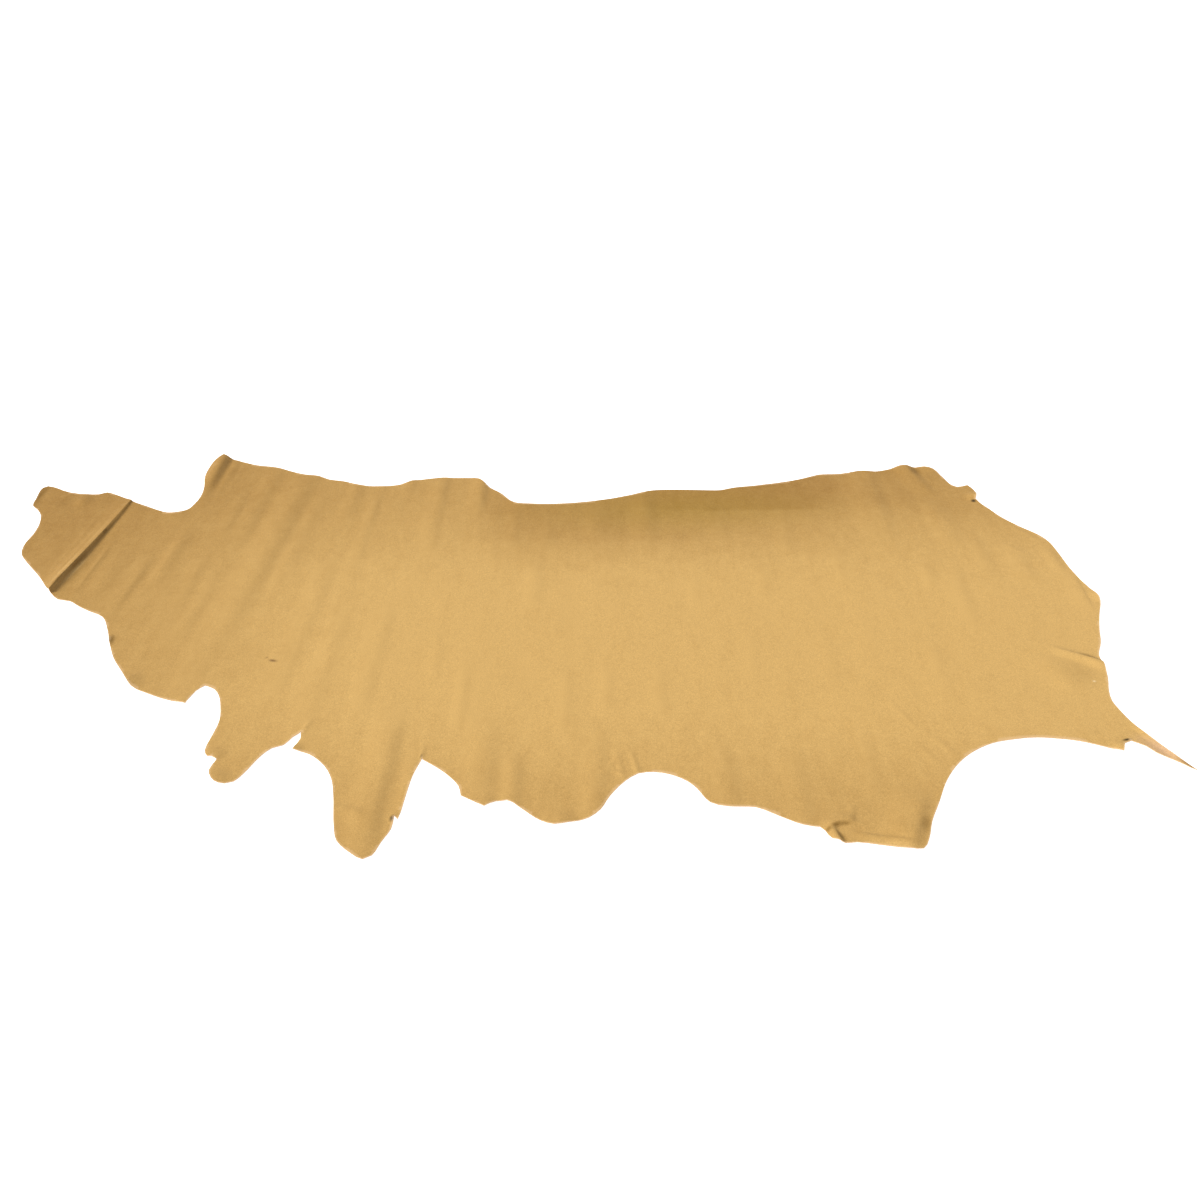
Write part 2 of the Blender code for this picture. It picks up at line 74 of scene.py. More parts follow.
# The leather's slight unevenness between the folds. Each row is a wave's rise, its length across
# the ripples and along them, in millimetres, and the layer of the noise that it reads.
UNEVEN_WAVES = (
    (1.15, 75, 210, 0.5),
    (0.6, 30, 95, 3.5),
    (0.2, 14, 34, 7.5),
)
CRACKLE_SIZE = 11 * MM

# How far the first row of the fine sheet lies from the cut edge.
FIRST_ROW_IN = 3 * MM

# The photograph's view, in metres and degrees, in the frame of the tables.
CAMERA_PLACE = (0.14675, -1.96036, 1.34412)
CAMERA_DOWN = 34
CAMERA_LENS = 36

# The soft key light, the even light of the room, and the glow that keeps the floor white.
KEY_FROM = (-0.86, -0.30, 0.72)
KEY_ANGLE = 24
KEY_ENERGY = 3.85
ROOM_LIGHT = 0.51
FLOOR_GLOW = 0.8
FLOOR_SIZE = 60
FLOOR_DROP = 0.4 * MM

# The cut edge, clockwise from the neck's tip as seen from above. Each row is one landmark:
# x and y in millimetres and how the knife goes through it, round or with a corner.
ROUND, CORNER = 0, 1
Cut = namedtuple("Cut", "x y turn")

NECK_TOP = (
    Cut(-1136, 501, ROUND),
    Cut(-1115, 495, ROUND),
    Cut(-1096, 483, ROUND),
    Cut(-1068, 471, ROUND),
    Cut(-1035, 465, ROUND),
    Cut(-1006, 465, CORNER),
    Cut(-990, 473, ROUND),
    Cut(-968, 464, ROUND),
    Cut(-923, 434, ROUND),
    Cut(-880, 410, ROUND),
    Cut(-845, 390, ROUND),
    Cut(-812, 378, ROUND),
    Cut(-784, 391, ROUND),
    Cut(-773, 420, ROUND),
    Cut(-768, 454, ROUND),
    Cut(-771, 493, ROUND),
    Cut(-783, 542, ROUND),
    Cut(-786, 588, ROUND),
    Cut(-781, 630, ROUND),
    Cut(-766, 650, CORNER),
)

SHOULDER_BACK = (
    Cut(-755, 643, ROUND),
    Cut(-733, 633, ROUND),
    Cut(-700, 618, ROUND),
    Cut(-675, 608, ROUND),
    Cut(-645, 601, ROUND),
    Cut(-610, 588, ROUND),
    Cut(-550, 558, ROUND),
    Cut(-515, 552, ROUND),
    Cut(-490, 537, ROUND),
    Cut(-450, 526, ROUND),
    Cut(-415, 509, ROUND),
    Cut(-385, 504, ROUND),
    Cut(-345, 505, ROUND),
    Cut(-318, 512, ROUND),
    Cut(-295, 528, ROUND),
    Cut(-265, 536, ROUND),
    Cut(-235, 542, ROUND),
    Cut(-190, 544, ROUND),
    Cut(-149, 542, ROUND),
    Cut(-137, 535, ROUND),
)

LOIN_BACK = (
    Cut(-110, 498, ROUND),
    Cut(-80, 468, ROUND),
    Cut(-55, 432, ROUND),
    Cut(-38, 420, ROUND),
    Cut(0, 420, ROUND),
    Cut(60, 422, ROUND),
    Cut(110, 429, ROUND),
    Cut(160, 441, ROUND),
    Cut(215, 461, ROUND),
    Cut(270, 483, ROUND),
    Cut(300, 486, ROUND),
    Cut(400, 484, ROUND),
    Cut(425, 485, ROUND),
    Cut(455, 496, ROUND),
)

RUMP_BACK = (
    Cut(520, 509, ROUND),
    Cut(600, 531, ROUND),
    Cut(640, 549, ROUND),
    Cut(665, 561, ROUND),
    Cut(710, 564, ROUND),
    Cut(735, 568, ROUND),
    Cut(765, 576, ROUND),
    Cut(800, 575, ROUND),
    Cut(835, 586, ROUND),
    Cut(864, 600, ROUND),
    Cut(881, 602, ROUND),
    Cut(900, 596, ROUND),
    Cut(922, 598, ROUND),
    Cut(942, 586, ROUND),
)

BUTT = (
    Cut(954, 550, ROUND),
    Cut(966, 509, ROUND),
    Cut(977, 500, ROUND),
    Cut(1003, 509, CORNER),
    Cut(1012, 486, ROUND),
    Cut(1011, 461, ROUND),
    Cut(1003, 437, CORNER),
    Cut(1022, 401, ROUND),
    Cut(1039, 364, ROUND),
    Cut(1064, 327, ROUND),
    Cut(1101, 283, ROUND),
    Cut(1114, 255, ROUND),
    Cut(1120, 212, ROUND),
    Cut(1125, 150, ROUND),
    Cut(1133, 102, ROUND),
    Cut(1147, 49, ROUND),
    Cut(1146, 25, ROUND),
    Cut(1128, -22, ROUND),
    Cut(1111, -72, ROUND),
    Cut(1099, -114, ROUND),
    Cut(1081, -157, ROUND),
    Cut(1080, -189, ROUND),
)

TAIL_STRIP = (
    Cut(1074, -224, ROUND),
    Cut(1062, -264, ROUND),
    Cut(1058, -291, ROUND),
    Cut(1062, -316, ROUND),
    Cut(1075, -362, ROUND),
    Cut(1091, -400, ROUND),
    Cut(1116, -447, ROUND),
    Cut(1136, -474, CORNER),
    Cut(1124, -466, ROUND),
    Cut(1106, -448, ROUND),
    Cut(1084, -430, ROUND),
    Cut(1072, -413, ROUND),
    Cut(1052, -399, CORNER),
    Cut(1040, -405, ROUND),
    Cut(1029, -428, CORNER),
)

HIND_SHANK = (
    Cut(1005, -416, ROUND),
    Cut(965, -400, ROUND),
    Cut(930, -393, ROUND),
    Cut(895, -390, ROUND),
    Cut(850, -396, ROUND),
    Cut(815, -405, ROUND),
    Cut(780, -424, ROUND),
    Cut(745, -455, ROUND),
    Cut(715, -497, ROUND),
    Cut(690, -549, ROUND),
    Cut(669, -592, ROUND),
    Cut(656, -629, ROUND),
    Cut(643, -650, ROUND),
    Cut(618, -651, ROUND),
    Cut(578, -643, ROUND),
    Cut(543, -637, ROUND),
    Cut(520, -639, ROUND),
    Cut(505, -631, ROUND),
    Cut(497, -614, ROUND),
    Cut(490, -605, CORNER),
)

FLANK = (
    Cut(465, -600, ROUND),
    Cut(430, -580, ROUND),
    Cut(395, -560, ROUND),
    Cut(350, -559, ROUND),
    Cut(323, -549, ROUND),
    Cut(304, -517, ROUND),
    Cut(289, -499, ROUND),
    Cut(262, -483, ROUND),
    Cut(235, -477, ROUND),
    Cut(210, -481, ROUND),
    Cut(187, -500, ROUND),
    Cut(163, -534, ROUND),
    Cut(148, -566, ROUND),
    Cut(130, -584, ROUND),
    Cut(100, -594, ROUND),
    Cut(75, -600, ROUND),
    Cut(52, -590, ROUND),
    Cut(20, -562, ROUND),
    Cut(-3, -546, ROUND),
    Cut(-20, -547, ROUND),
    Cut(-38, -560, CORNER),
    Cut(-78, -534, CORNER),
)

FORE_SHANK = (
    Cut(-84, -511, ROUND),
    Cut(-110, -479, ROUND),
    Cut(-151, -446, CORNER),
    Cut(-161, -490, ROUND),
    Cut(-166, -540, ROUND),
    Cut(-169, -577, ROUND),
    Cut(-171, -590, CORNER),
    Cut(-178, -582, CORNER),
    Cut(-179, -608, ROUND),
    Cut(-190, -636, ROUND),
    Cut(-200, -665, ROUND),
    Cut(-213, -674, ROUND),
    Cut(-234, -661, ROUND),
    Cut(-260, -634, ROUND),
    Cut(-270, -602, ROUND),
    Cut(-283, -535, ROUND),
    Cut(-294, -494, ROUND),
    Cut(-311, -463, ROUND),
    Cut(-342, -434, ROUND),
    Cut(-372, -424, CORNER),
)

BRISKET = (
    Cut(-365, -394, CORNER),
    Cut(-367, -377, CORNER),
    Cut(-379, -390, ROUND),
    Cut(-390, -410, ROUND),
    Cut(-408, -418, ROUND),
    Cut(-422, -437, ROUND),
    Cut(-440, -480, ROUND),
    Cut(-452, -500, ROUND),
    Cut(-466, -506, ROUND),
    Cut(-484, -502, ROUND),
    Cut(-500, -473, ROUND),
    Cut(-494, -447, CORNER),
    Cut(-504, -441, ROUND),
    Cut(-511, -441, ROUND),
    Cut(-520, -424, ROUND),
    Cut(-518, -386, ROUND),
    Cut(-516, -346, ROUND),
    Cut(-524, -309, ROUND),
    Cut(-535, -277, ROUND),
    Cut(-548, -258, ROUND),
    Cut(-568, -247, CORNER),
    Cut(-580, -262, ROUND),
    Cut(-588, -300, CORNER),
)

CHEST_AND_NECK = (
    Cut(-640, -282, ROUND),
    Cut(-674, -265, ROUND),
    Cut(-700, -251, ROUND),
    Cut(-732, -206, ROUND),
    Cut(-762, -163, ROUND),
    Cut(-782, -123, ROUND),
    Cut(-802, -77, ROUND),
    Cut(-828, -30, ROUND),
    Cut(-861, -10, ROUND),
    Cut(-886, 6, ROUND),
    Cut(-913, 26, ROUND),
    Cut(-940, 33, ROUND),
    Cut(-957, 49, ROUND),
    Cut(-967, 57, ROUND),
    Cut(-1005, 111, ROUND),
    Cut(-1061, 177, ROUND),
    Cut(-1081, 206, ROUND),
    Cut(-1089, 243, ROUND),
    Cut(-1087, 290, ROUND),
    Cut(-1092, 335, ROUND),
    Cut(-1104, 370, ROUND),
    Cut(-1122, 396, ROUND),
    Cut(-1137, 411, ROUND),
    Cut(-1140, 436, ROUND),
    Cut(-1144, 471, ROUND),
    Cut(-1143, 490, ROUND),
)

CUT_EDGE = (
    NECK_TOP
    + SHOULDER_BACK
    + LOIN_BACK
    + RUMP_BACK
    + BUTT
    + TAIL_STRIP
    + HIND_SHANK
    + FLANK
    + FORE_SHANK
    + BRISKET
    + CHEST_AND_NECK
)

# Each row is one fold or ripple: its crest runs from x0, y0 to x1, y1 and bows to its left by bow,
# it rises by rise0 at the start and rise1 at the end, and its flanks reach left and right of it.
# All in millimetres. peak is round for a soft ripple and sharp for a pinched crease.

SHARP = 1
Fold = namedtuple("Fold", "name x0 y0 x1 y1 bow rise0 rise1 left right peak")

NECK_FOLDS = (
    Fold("neck crease", -993, -150, -906, 640, -10.7, 15.0, 1.0, 60, 14, SHARP),
    Fold("crease foot", -987, -60, -938, 320, -4, 3.2, 1.0, 46, 34, ROUND),
    Fold("neck tip curl", -1148, 380, -1150, 530, 0, 4.0, 5.0, 14, 24, ROUND),
    Fold("neck ripple", -915, 10, -901, 290, 0, 1.2, 0.8, 12, 11, ROUND),
    Fold("neck roll", -876, 0, -862, 250, 0, 2.0, 1.0, 26, 40, ROUND),
    Fold("collar ripple 1", -816, -60, -804, 250, 0, 1.4, 1.0, 46, 18, ROUND),
    Fold("collar ripple 2", -766, 60, -754, 330, 0, 1.6, 1.4, 22, 28, ROUND),
    Fold("shoulder curl", -764, 400, -760, 740, 0, 3.0, 14.0, 34, 25, ROUND),
    Fold("shoulder ripple", -735, 440, -727, 660, 0, 1.0, 1.4, 16, 18, ROUND),
)

SHOULDER_RIPPLES = (
    Fold("ripple 1", -694, -20, -688, 230, 0, 1.2, 1.0, 28, 22, ROUND),
    Fold("ripple 2", -670, -160, -642, 180, -4, 0.9, 0.8, 26, 22, ROUND),
    Fold("ripple 3", -676, 250, -668, 480, 0, 1.0, 1.0, 30, 18, ROUND),
    Fold("ripple 4", -634, 180, -618, 700, 0, 1.4, 2.2, 36, 28, ROUND),
    Fold("ripple 5", -606, -340, -528, 760, -6, 2.8, 4.2, 60, 42, ROUND),
    Fold("ripple 6", -516, 20, -488, 540, 0, 1.1, 1.5, 28, 34, ROUND),
    Fold("ripple 7", -440, -380, -416, 260, 0, 1.3, 1.6, 44, 28, ROUND),
    Fold("ripple 8", -424, 290, -410, 580, 0, 1.3, 1.8, 30, 26, ROUND),
    Fold("ripple 9", -366, 80, -360, 560, 0, 0.9, 1.3, 26, 17, ROUND),
    Fold("ripple 10", -368, -440, -357, 80, 0, 1.5, 0.9, 38, 28, ROUND),
    Fold("ripple 11", -277, -400, -274, 90, 0, 1.7, 0.9, 40, 28, ROUND),
    Fold("ripple 12", -294, 430, -296, 600, 0, 1.0, 2.2, 30, 20, ROUND),
    Fold("ripple 13", -216, 150, -222, 640, 0, 0.8, 2.8, 38, 22, ROUND),
    Fold("ripple 14", -132, 330, -120, 640, 0, 0.6, 6.5, 38, 20, ROUND),
    Fold("ripple 15", 248, 200, 250, 520, 0, 2.0, 2.6, 44, 36, ROUND),
    Fold("ripple 16", 136, 230, 140, 440, 0, 1.4, 1.4, 34, 38, ROUND),
)

BELLY_FOLDS = (
    Fold("fore shank fold", -219, -740, -209, -270, 0, 5.0, 2.2, 50, 28, ROUND),
    Fold("fore shank rim", -170, -640, -160, -400, 0, 2.4, 1.4, 20, 22, ROUND),
    Fold("fore shank dent", -286, -570, -226, -592, 12, 1.4, 2.0, 16, 26, ROUND),
    Fold("belly ripple 1", -50, -600, -48, -310, 0, 3.0, 1.6, 44, 36, ROUND),
    Fold("belly ripple 2", 2, -620, 6, -400, 0, 2.8, 1.8, 24, 22, ROUND),
    Fold("belly ripple 3", 138, -640, 148, -330, 0, 3.0, 1.6, 36, 24, ROUND),
    Fold("belly wrinkle 1", 190, -505, 172, -410, 2, 0.9, 0.5, 9, 9, ROUND),
    Fold("belly wrinkle 2", 212, -495, 197, -415, 0, 1.1, 0.7, 9, 8, ROUND),
    Fold("flank ripple 1", 356, -620, 352, -370, 0, 2.0, 1.2, 36, 30, ROUND),
    Fold("flank ripple 2", 468, -650, 472, -400, 0, 2.0, 1.2, 34, 28, ROUND),
    Fold("hind pleat", 494, -620, 556, -588, 10, 5.0, 3.5, 24, 10, ROUND),
    Fold("pleat branch", 507, -600, 520, -650, 0, 3.0, 6.0, 9, 15, ROUND),
    Fold("pleat run-out", 538, -606, 552, -550, 0, 1.4, 0.9, 12, 9, ROUND),
    Fold("hind line", 530, -616, 648, -646, 0, 2.6, 2.0, 9, 20, ROUND),
    Fold("hind hem", 560, -668, 664, -672, 0, 3.0, 3.0, 22, 16, ROUND),
    Fold("hind corner curl", 614, -668, 676, -510, 0, 10.0, 2.5, 60, 24, ROUND),
)

BUTT_FOLDS = (
    Fold("butt crease", 985, -122, 1106, -199, 0, 1.2, 7.0, 13, 26, ROUND),
    Fold("butt dent", 1006, -280, 984, -150, 0, 2.4, 2.4, 46, 66, ROUND),
    Fold("butt ripple 1", 1030, 80, 1032, 250, 4, 1.6, 1.6, 44, 26, ROUND),
    Fold("butt ripple 2", 1107, 120, 1100, 240, 0, 1.4, 1.4, 24, 16, ROUND),
    Fold("butt edge ripple", 1116, -20, 1122, 140, 0, 1.5, 1.5, 40, 10, ROUND),
    Fold("rump ripple 1", 764, 200, 778, 680, 0, 1.6, 4.0, 74, 36, ROUND),
    Fold("rump ripple 2", 916, 420, 858, 670, 0, 1.2, 6.0, 48, 24, ROUND),
    Fold("rump ripple 3", 905, 200, 900, 460, 0, 2.0, 2.0, 46, 42, ROUND),
    Fold("tail strip roll", 1134, -474, 1064, -340, 3, 7.0, 1.5, 13, 13, ROUND),
)

FOLDS = NECK_FOLDS + SHOULDER_RIPPLES + BELLY_FOLDS + BUTT_FOLDS

# Each row is one place where an edge or a corner stands off the surface: its middle, reach and rise.
Lift = namedtuple("Lift", "name x y reach rise")

LIFTS = (
    Lift("neck hollow rim", -1030, 430, 34, 2.4),
    Lift("neck bay", -806, 378, 34, 2.0),
    Lift("hind lobe", 508, -632, 18, 2.0),
    Lift("chest curl 1", -799, -112, 27, 6.0),
    Lift("chest curl 2", -712, -240, 38, 5.0),
    Lift("chest point", -590, -297, 30, 3.0),
    Lift("brisket flap", -504, -434, 24, 3.5),
    Lift("brisket lobe", -486, -494, 34, 4.0),
    Lift("brisket tab", -372, -422, 22, 3.5),
    Lift("fore shank notch", -172, -584, 20, 2.5),
    Lift("belly point", -38, -556, 28, 2.5),
    Lift("belly lobe", 80, -594, 40, 2.5),
    Lift("hind spur", 1032, -420, 24, 4.5),
    Lift("butt bulge", 1154, 44, 32, 4.0),
    Lift("butt tab", 1012, 450, 34, 6.5),
    Lift("butt corner", 934, 600, 44, 3.0),
    Lift("back bay", -30, 428, 44, 2.5),
)

CRACKLE = Lift("crackled patch", -5, -290, 55, 0.9)

# Ripples and wrinkles that are too fine for the solid, in the same columns.
FINE_FOLDS = (
    Fold("crease line 1", -988, 20, -948, 420, -4, 1.0, 0.4, 5, 7, ROUND),
    Fold("crease line 2", -1003, 60, -966, 450, -4, 0.8, 0.5, 7, 7, ROUND),
    Fold("crease line 3", -1016, 90, -990, 300, -4, 0.5, 0.3, 7, 7, ROUND),
    Fold("flap arc", -1044, 486, -1030, 392, 6, 1.0, 1.0, 16, 20, ROUND),
    Fold("flap wrinkle 1", -1082, 330, -1010, 415, 6, 0.7, 0.7, 8, 9, ROUND),
    Fold("flap wrinkle 2", -1096, 385, -1040, 445, 8, 0.8, 0.8, 8, 9, ROUND),
    Fold("flap wrinkle 3", -1090, 440, -1050, 470, 6, 0.9, 0.9, 8, 10, ROUND),
    Fold("collar line", -818, -30, -800, 210, -6, 0.9, 0.6, 24, 9, ROUND),
    Fold("collar band", -766, 40, -756, 330, 0, 1.0, 0.8, 20, 40, ROUND),
    Fold("neck line", -892, 40, -884, 190, 0, 0.7, 0.5, 9, 9, ROUND),
    Fold("shoulder line", -800, 442, -600, 462, 0, 0.5, 0.4, 7, 7, ROUND),
    Fold("fine ripple 1", 12, -30, 14, 190, 0, 1.0, 1.0, 28, 26, ROUND),
    Fold("fine ripple 2", 84, -400, 88, -160, 0, 0.9, 0.6, 22, 18, ROUND),
    Fold("fine ripple 3", 156, -360, 160, -160, 0, 0.9, 0.8, 24, 20, ROUND),
    Fold("fine ripple 4", 254, -370, 256, -160, 0, 1.0, 1.0, 30, 22, ROUND),
    Fold("fine ripple 5", 342, -40, 342, 150, 0, 0.8, 0.7, 26, 22, ROUND),
    Fold("fine ripple 6", -104, -400, -98, -150, 0, 0.8, 0.7, 22, 18, ROUND),
    Fold("fine ripple 7", 434, -250, 434, -50, 0, 0.7, 0.6, 26, 20, ROUND),
    Fold("fine ripple 8", 412, 240, 416, 420, 0, 1.2, 1.2, 40, 30, ROUND),
    Fold("fine ripple 9", -44, 200, -40, 450, 0, 0.8, 1.0, 26, 22, ROUND),
    Fold("fine ripple 10", 24, 210, 34, 360, 0, 0.7, 0.7, 22, 30, ROUND),
    Fold("fine ripple 11", 772, -340, 775, -80, 0, 0.8, 0.8, 26, 18, ROUND),
    Fold("fine ripple 12", 866, -100, 890, 220, 0, 0.8, 0.8, 26, 20, ROUND),
    Fold("fine ripple 13", 575, -300, 575, -60, 0, 0.7, 0.7, 30, 22, ROUND),
    Fold("fine ripple 14", 545, 180, 560, 380, 0, 0.9, 1.0, 30, 26, ROUND),
    Fold("fine ripple 15", 480, 20, 488, 170, 0, 0.8, 0.7, 26, 24, ROUND),
    Fold("fine ripple 16", 640, 60, 652, 230, 0, 0.8, 0.8, 26, 24, ROUND),
    Fold("fine ripple 17", 590, -560, 600, -380, 0, 1.2, 0.9, 26, 22, ROUND),
    Fold("fine ripple 18", 820, 60, 826, 180, 0, 0.9, 0.9, 24, 22, ROUND),
    Fold("fine ripple 19", -160, -240, -156, -100, 0, 0.7, 0.6, 20, 16, ROUND),
    Fold("fine ripple 20", 950, 100, 960, 300, 0, 0.8, 0.8, 30, 24, ROUND),
    Fold("hind wrinkle 1", 655, -290, 700, -390, 4, 0.7, 0.7, 8, 8, ROUND),
    Fold("hind wrinkle 2", 700, -370, 748, -452, 4, 0.8, 0.8, 8, 8, ROUND),
    Fold("hind wrinkle 3", 676, -400, 712, -470, 3, 0.7, 0.8, 8, 8, ROUND),
    Fold("rump wrinkle 1", 770, -236, 806, -250, 2, 0.6, 0.6, 6, 7, ROUND),
    Fold("rump wrinkle 2", 760, 300, 850, 372, 8, 0.9, 0.7, 12, 12, ROUND),
    Fold("butt line 1", 1004, 250, 1062, 176, 6, 0.8, 0.7, 8, 8, ROUND),
    Fold("butt line 2", 1040, 330, 1104, 230, 4, 0.8, 0.7, 8, 8, ROUND),
    Fold("fore shank slit line", -153, -452, -150, -415, 0, 2.4, 1.4, 5, 5, ROUND),
    Fold("brisket slit line", -368, -394, -353, -342, 2, 1.8, 1.4, 6, 6, ROUND),
    Fold("brisket flap line", -498, -452, -478, -416, 2, 1.8, 1.2, 6, 7, ROUND),
    Fold("chest line", -722, -238, -684, -200, 2, 0.9, 0.7, 7, 7, ROUND),
    Fold("belly line 1", 150, -505, 178, -440, 4, 1.0, 0.8, 7, 7, ROUND),
    Fold("belly line 2", 158, -470, 186, -490, 4, 0.9, 0.8, 6, 6, ROUND),
)


def curve_through(knots, step):
    """Points along the smooth curve through the knots, about step apart, without the last knot."""
    knots = np.array(knots, float)
    ends = np.vstack([2 * knots[0] - knots[1], knots, 2 * knots[-1] - knots[-2]])
    made = []
    for before, start, end, after in zip(ends, ends[1:], ends[2:], ends[3:]):
        span_before, span, span_after = (
            math.sqrt(np.linalg.norm(b - a)) for a, b in ((before, start), (start, end), (end, after))
        )
        leave = (start - before) / span_before - (end - before) / (span_before + span)
        leave = (leave + (end - start) / span) * span
        arrive = (end - start) / span - (after - start) / (span + span_after)
        arrive = (arrive + (after - end) / span_after) * span
        count = max(1, round(np.linalg.norm(end - start) / step))
        for t in np.arange(count) / count:
            blend = t * t * (3 - 2 * t)
            place = start * (1 - blend) + end * blend
            made.append(place + leave * t * (1 - t) ** 2 - arrive * t * t * (1 - t))
    return made


def cut_edge(rows, step):
    """The whole cut edge as one closed ring of points, with each corner kept."""
    knots = [(row.x * MM, row.y * MM) for row in rows]
    corners = [i for i, row in enumerate(rows) if row.turn == CORNER]
    ring = []
    for here, there in zip(corners, corners[1:] + [corners[0] + len(rows)]):
        run = [knots[i % len(rows)] for i in range(here, there + 1)]
        ring += curve_through(run, step)
    return np.array(ring)


def unrest(fold, t, channel):
    """A smooth change between -1 and 1 along a fold, which short or pinched folds don't have."""
    length = math.hypot(fold.x1 - fold.x0, fold.y1 - fold.y0) * MM
    if length < SHORTEST_SWAYING or fold.peak == SHARP:
        return np.zeros(len(t))
    return np.array([
        noise.noise(Vector((fold.x0 * MM, s * length / SWAY_LENGTH, channel))) for s in t
    ])


def crest_line(fold, samples):
    """Points along a fold's crest, from its start to its end."""
    start = np.array((fold.x0, fold.y0)) * MM
    end = np.array((fold.x1, fold.y1)) * MM
    along = end - start
    to_left = np.array((-along[1], along[0])) / np.linalg.norm(along)
    t = np.linspace(0, 1, samples)
    aside = fold.bow * MM * 4 * t * (1 - t) + SWAY * unrest(fold, t, 0)
    return start + along * t[:, None] + to_left * aside[:, None]


def fold_height(fold, places):
    """How high a fold lifts the leather at each place."""
    crest = crest_line(fold, CREST_SAMPLES)
    reach = max(fold.left, fold.right) * MM
    near = (places > crest.min(axis=0) - reach).all(axis=1)
    near &= (places < crest.max(axis=0) + reach).all(axis=1)
    height = np.zeros(len(places))
    if not near.any():
        return height
    starts = crest[:-1]
    legs = crest[1:] - starts
    to_place = places[near][:, None] - starts[None]
    share = (to_place * legs).sum(axis=2) / (legs * legs).sum(axis=1)
    share = np.clip(share, 0, 1)
    away = to_place - legs * share[..., None]
    distance = np.linalg.norm(away, axis=2)
    nearest = distance.argmin(axis=1)
    rows = np.arange(len(nearest))
    leg = legs[nearest]
    offset = away[rows, nearest]
    on_left = leg[:, 0] * offset[:, 1] - leg[:, 1] * offset[:, 0] > 0
    flank = np.where(on_left, fold.left, fold.right) * MM
    u = np.clip(distance[rows, nearest] / flank, 0, 1)
    if fold.peak == SHARP:
        profile = (1 - u) ** np.where(on_left, CREASE_POWER, CREASE_DROP)
    else:
        profile = 0.5 + 0.5 * np.cos(math.pi * u)
    t = (nearest + share[rows, nearest]) / len(legs)
    run_out = np.clip(np.minimum(t, 1 - t) / RUN_OUT, 0, 1)
    run_out = run_out * run_out * (3 - 2 * run_out)
    rise = fold.rise0 + (fold.rise1 - fold.rise0) * t
    knots = np.linspace(0, 1, CREST_SAMPLES)
    rise = rise * (1 + RISE_CHANGE * np.interp(t, knots, unrest(fold, knots, 1)))
    height[near] = rise * MM * profile * run_out
    return height


def lift_height(lift, places):
    """How high a lifted edge stands at each place."""
    away = np.linalg.norm(places - np.array((lift.x, lift.y)) * MM, axis=1)
    u = np.clip(away / (lift.reach * MM), 0, 1)
    return lift.rise * MM * (0.5 + 0.5 * np.cos(math.pi * u))


def unevenness(places):
    """Low waves between the folds, longer along the ripples than across them."""
    waves = np.zeros(len(places))
    for rise, across, along, layer in UNEVEN_WAVES:
        waves += rise * MM * np.array([
            0.5 + 0.5 * noise.noise(Vector((x / across / MM, y / along / MM, layer)))
            for x, y in places
        ])
    crackle = lift_height(CRACKLE, places) * np.array([
        noise.turbulence(Vector((x, y, 0)) / CRACKLE_SIZE, 3, True) for x, y in places
    ])
    return waves + crackle


def surface_height(places):
    """The height of the leather's underside over the floor."""
    height = np.zeros(len(places))
    for fold in FOLDS:
        height += fold_height(fold, places)
    for lift in LIFTS:
        lifted = lift_height(lift, places)
        height = np.maximum(height, lifted) + LIFT_ON_FOLD * np.minimum(height, lifted)
    for fold in FINE_FOLDS:
        height += fold_height(fold, places)
    return np.maximum(height + unevenness(places), 0)


def inside_of(ring, places):
    """Whether each place lies inside the ring."""
    inside = np.zeros(len(places), bool)
    for a, b in zip(ring, np.roll(ring, -1, axis=0)):
        crosses = (a[1] > places[:, 1]) != (b[1] > places[:, 1])
        with np.errstate(divide="ignore", invalid="ignore"):
            x = a[0] + (places[:, 1] - a[1]) * (b[0] - a[0]) / (b[1] - a[1])
        inside ^= crosses & (places[:, 0] < x)
    return inside


def clear_of(line, places, gap, is_ring):
    """Whether each place keeps the gap from the line."""
    clear = np.ones(len(places), bool)
    ends = np.roll(line, -1, axis=0) if is_ring else line[1:]
    for a, b in zip(line, ends):
        leg = b - a
        share = np.clip(((places - a) @ leg) / (leg @ leg), 0, 1)
        clear &= np.linalg.norm(places - a - share[:, None] * leg, axis=1) > gap
    return clear


def strong_fold_places():
    """Rows of places along the crests and flanks of the folds that are narrow or stand high."""
    places = []
    for fold in FOLDS:
        narrow = min(fold.left, fold.right) < NARROW_REACH
        if fold.peak == SHARP or not (narrow or max(fold.rise0, fold.rise1) > HIGH_RISE):
            continue
        length = math.hypot(fold.x1 - fold.x0, fold.y1 - fold.y0) * MM
        crest = crest_line(fold, round(length / FOLD_STEP) + 1)
        along = crest[-1] - crest[0]
        to_left = np.array((-along[1], along[0])) / np.linalg.norm(along)
        for share in FLANK_ROWS:
            for side in (fold.left * share, -fold.right * share):
                places += list(crest + to_left * side * MM)
    return np.array(places)


def thinned(places, kept, gap):
    """The places that keep the gap from each other and from those already kept, in order."""
    kept = list(kept)
    already = len(kept)
    for place in places:
        if not kept or np.linalg.norm(np.array(kept) - place, axis=1).min() > gap:
            kept.append(place)
    return np.array(kept[already:])


def column_places(ring):
    """The inner rows and columns: columns run from belly to back, as the ripples do."""
    columns = []
    x = ring[:, 0].min()
    while x < ring[:, 0].max():
        columns.append(x)
        x += COLUMN_STEP_NECK if x < COLUMN_CHANGE_X else COLUMN_STEP_BUTT
    rows = np.arange(ring[:, 1].min(), ring[:, 1].max(), ROW_STEP)
    return np.array([(x, y) for x in columns for y in rows])


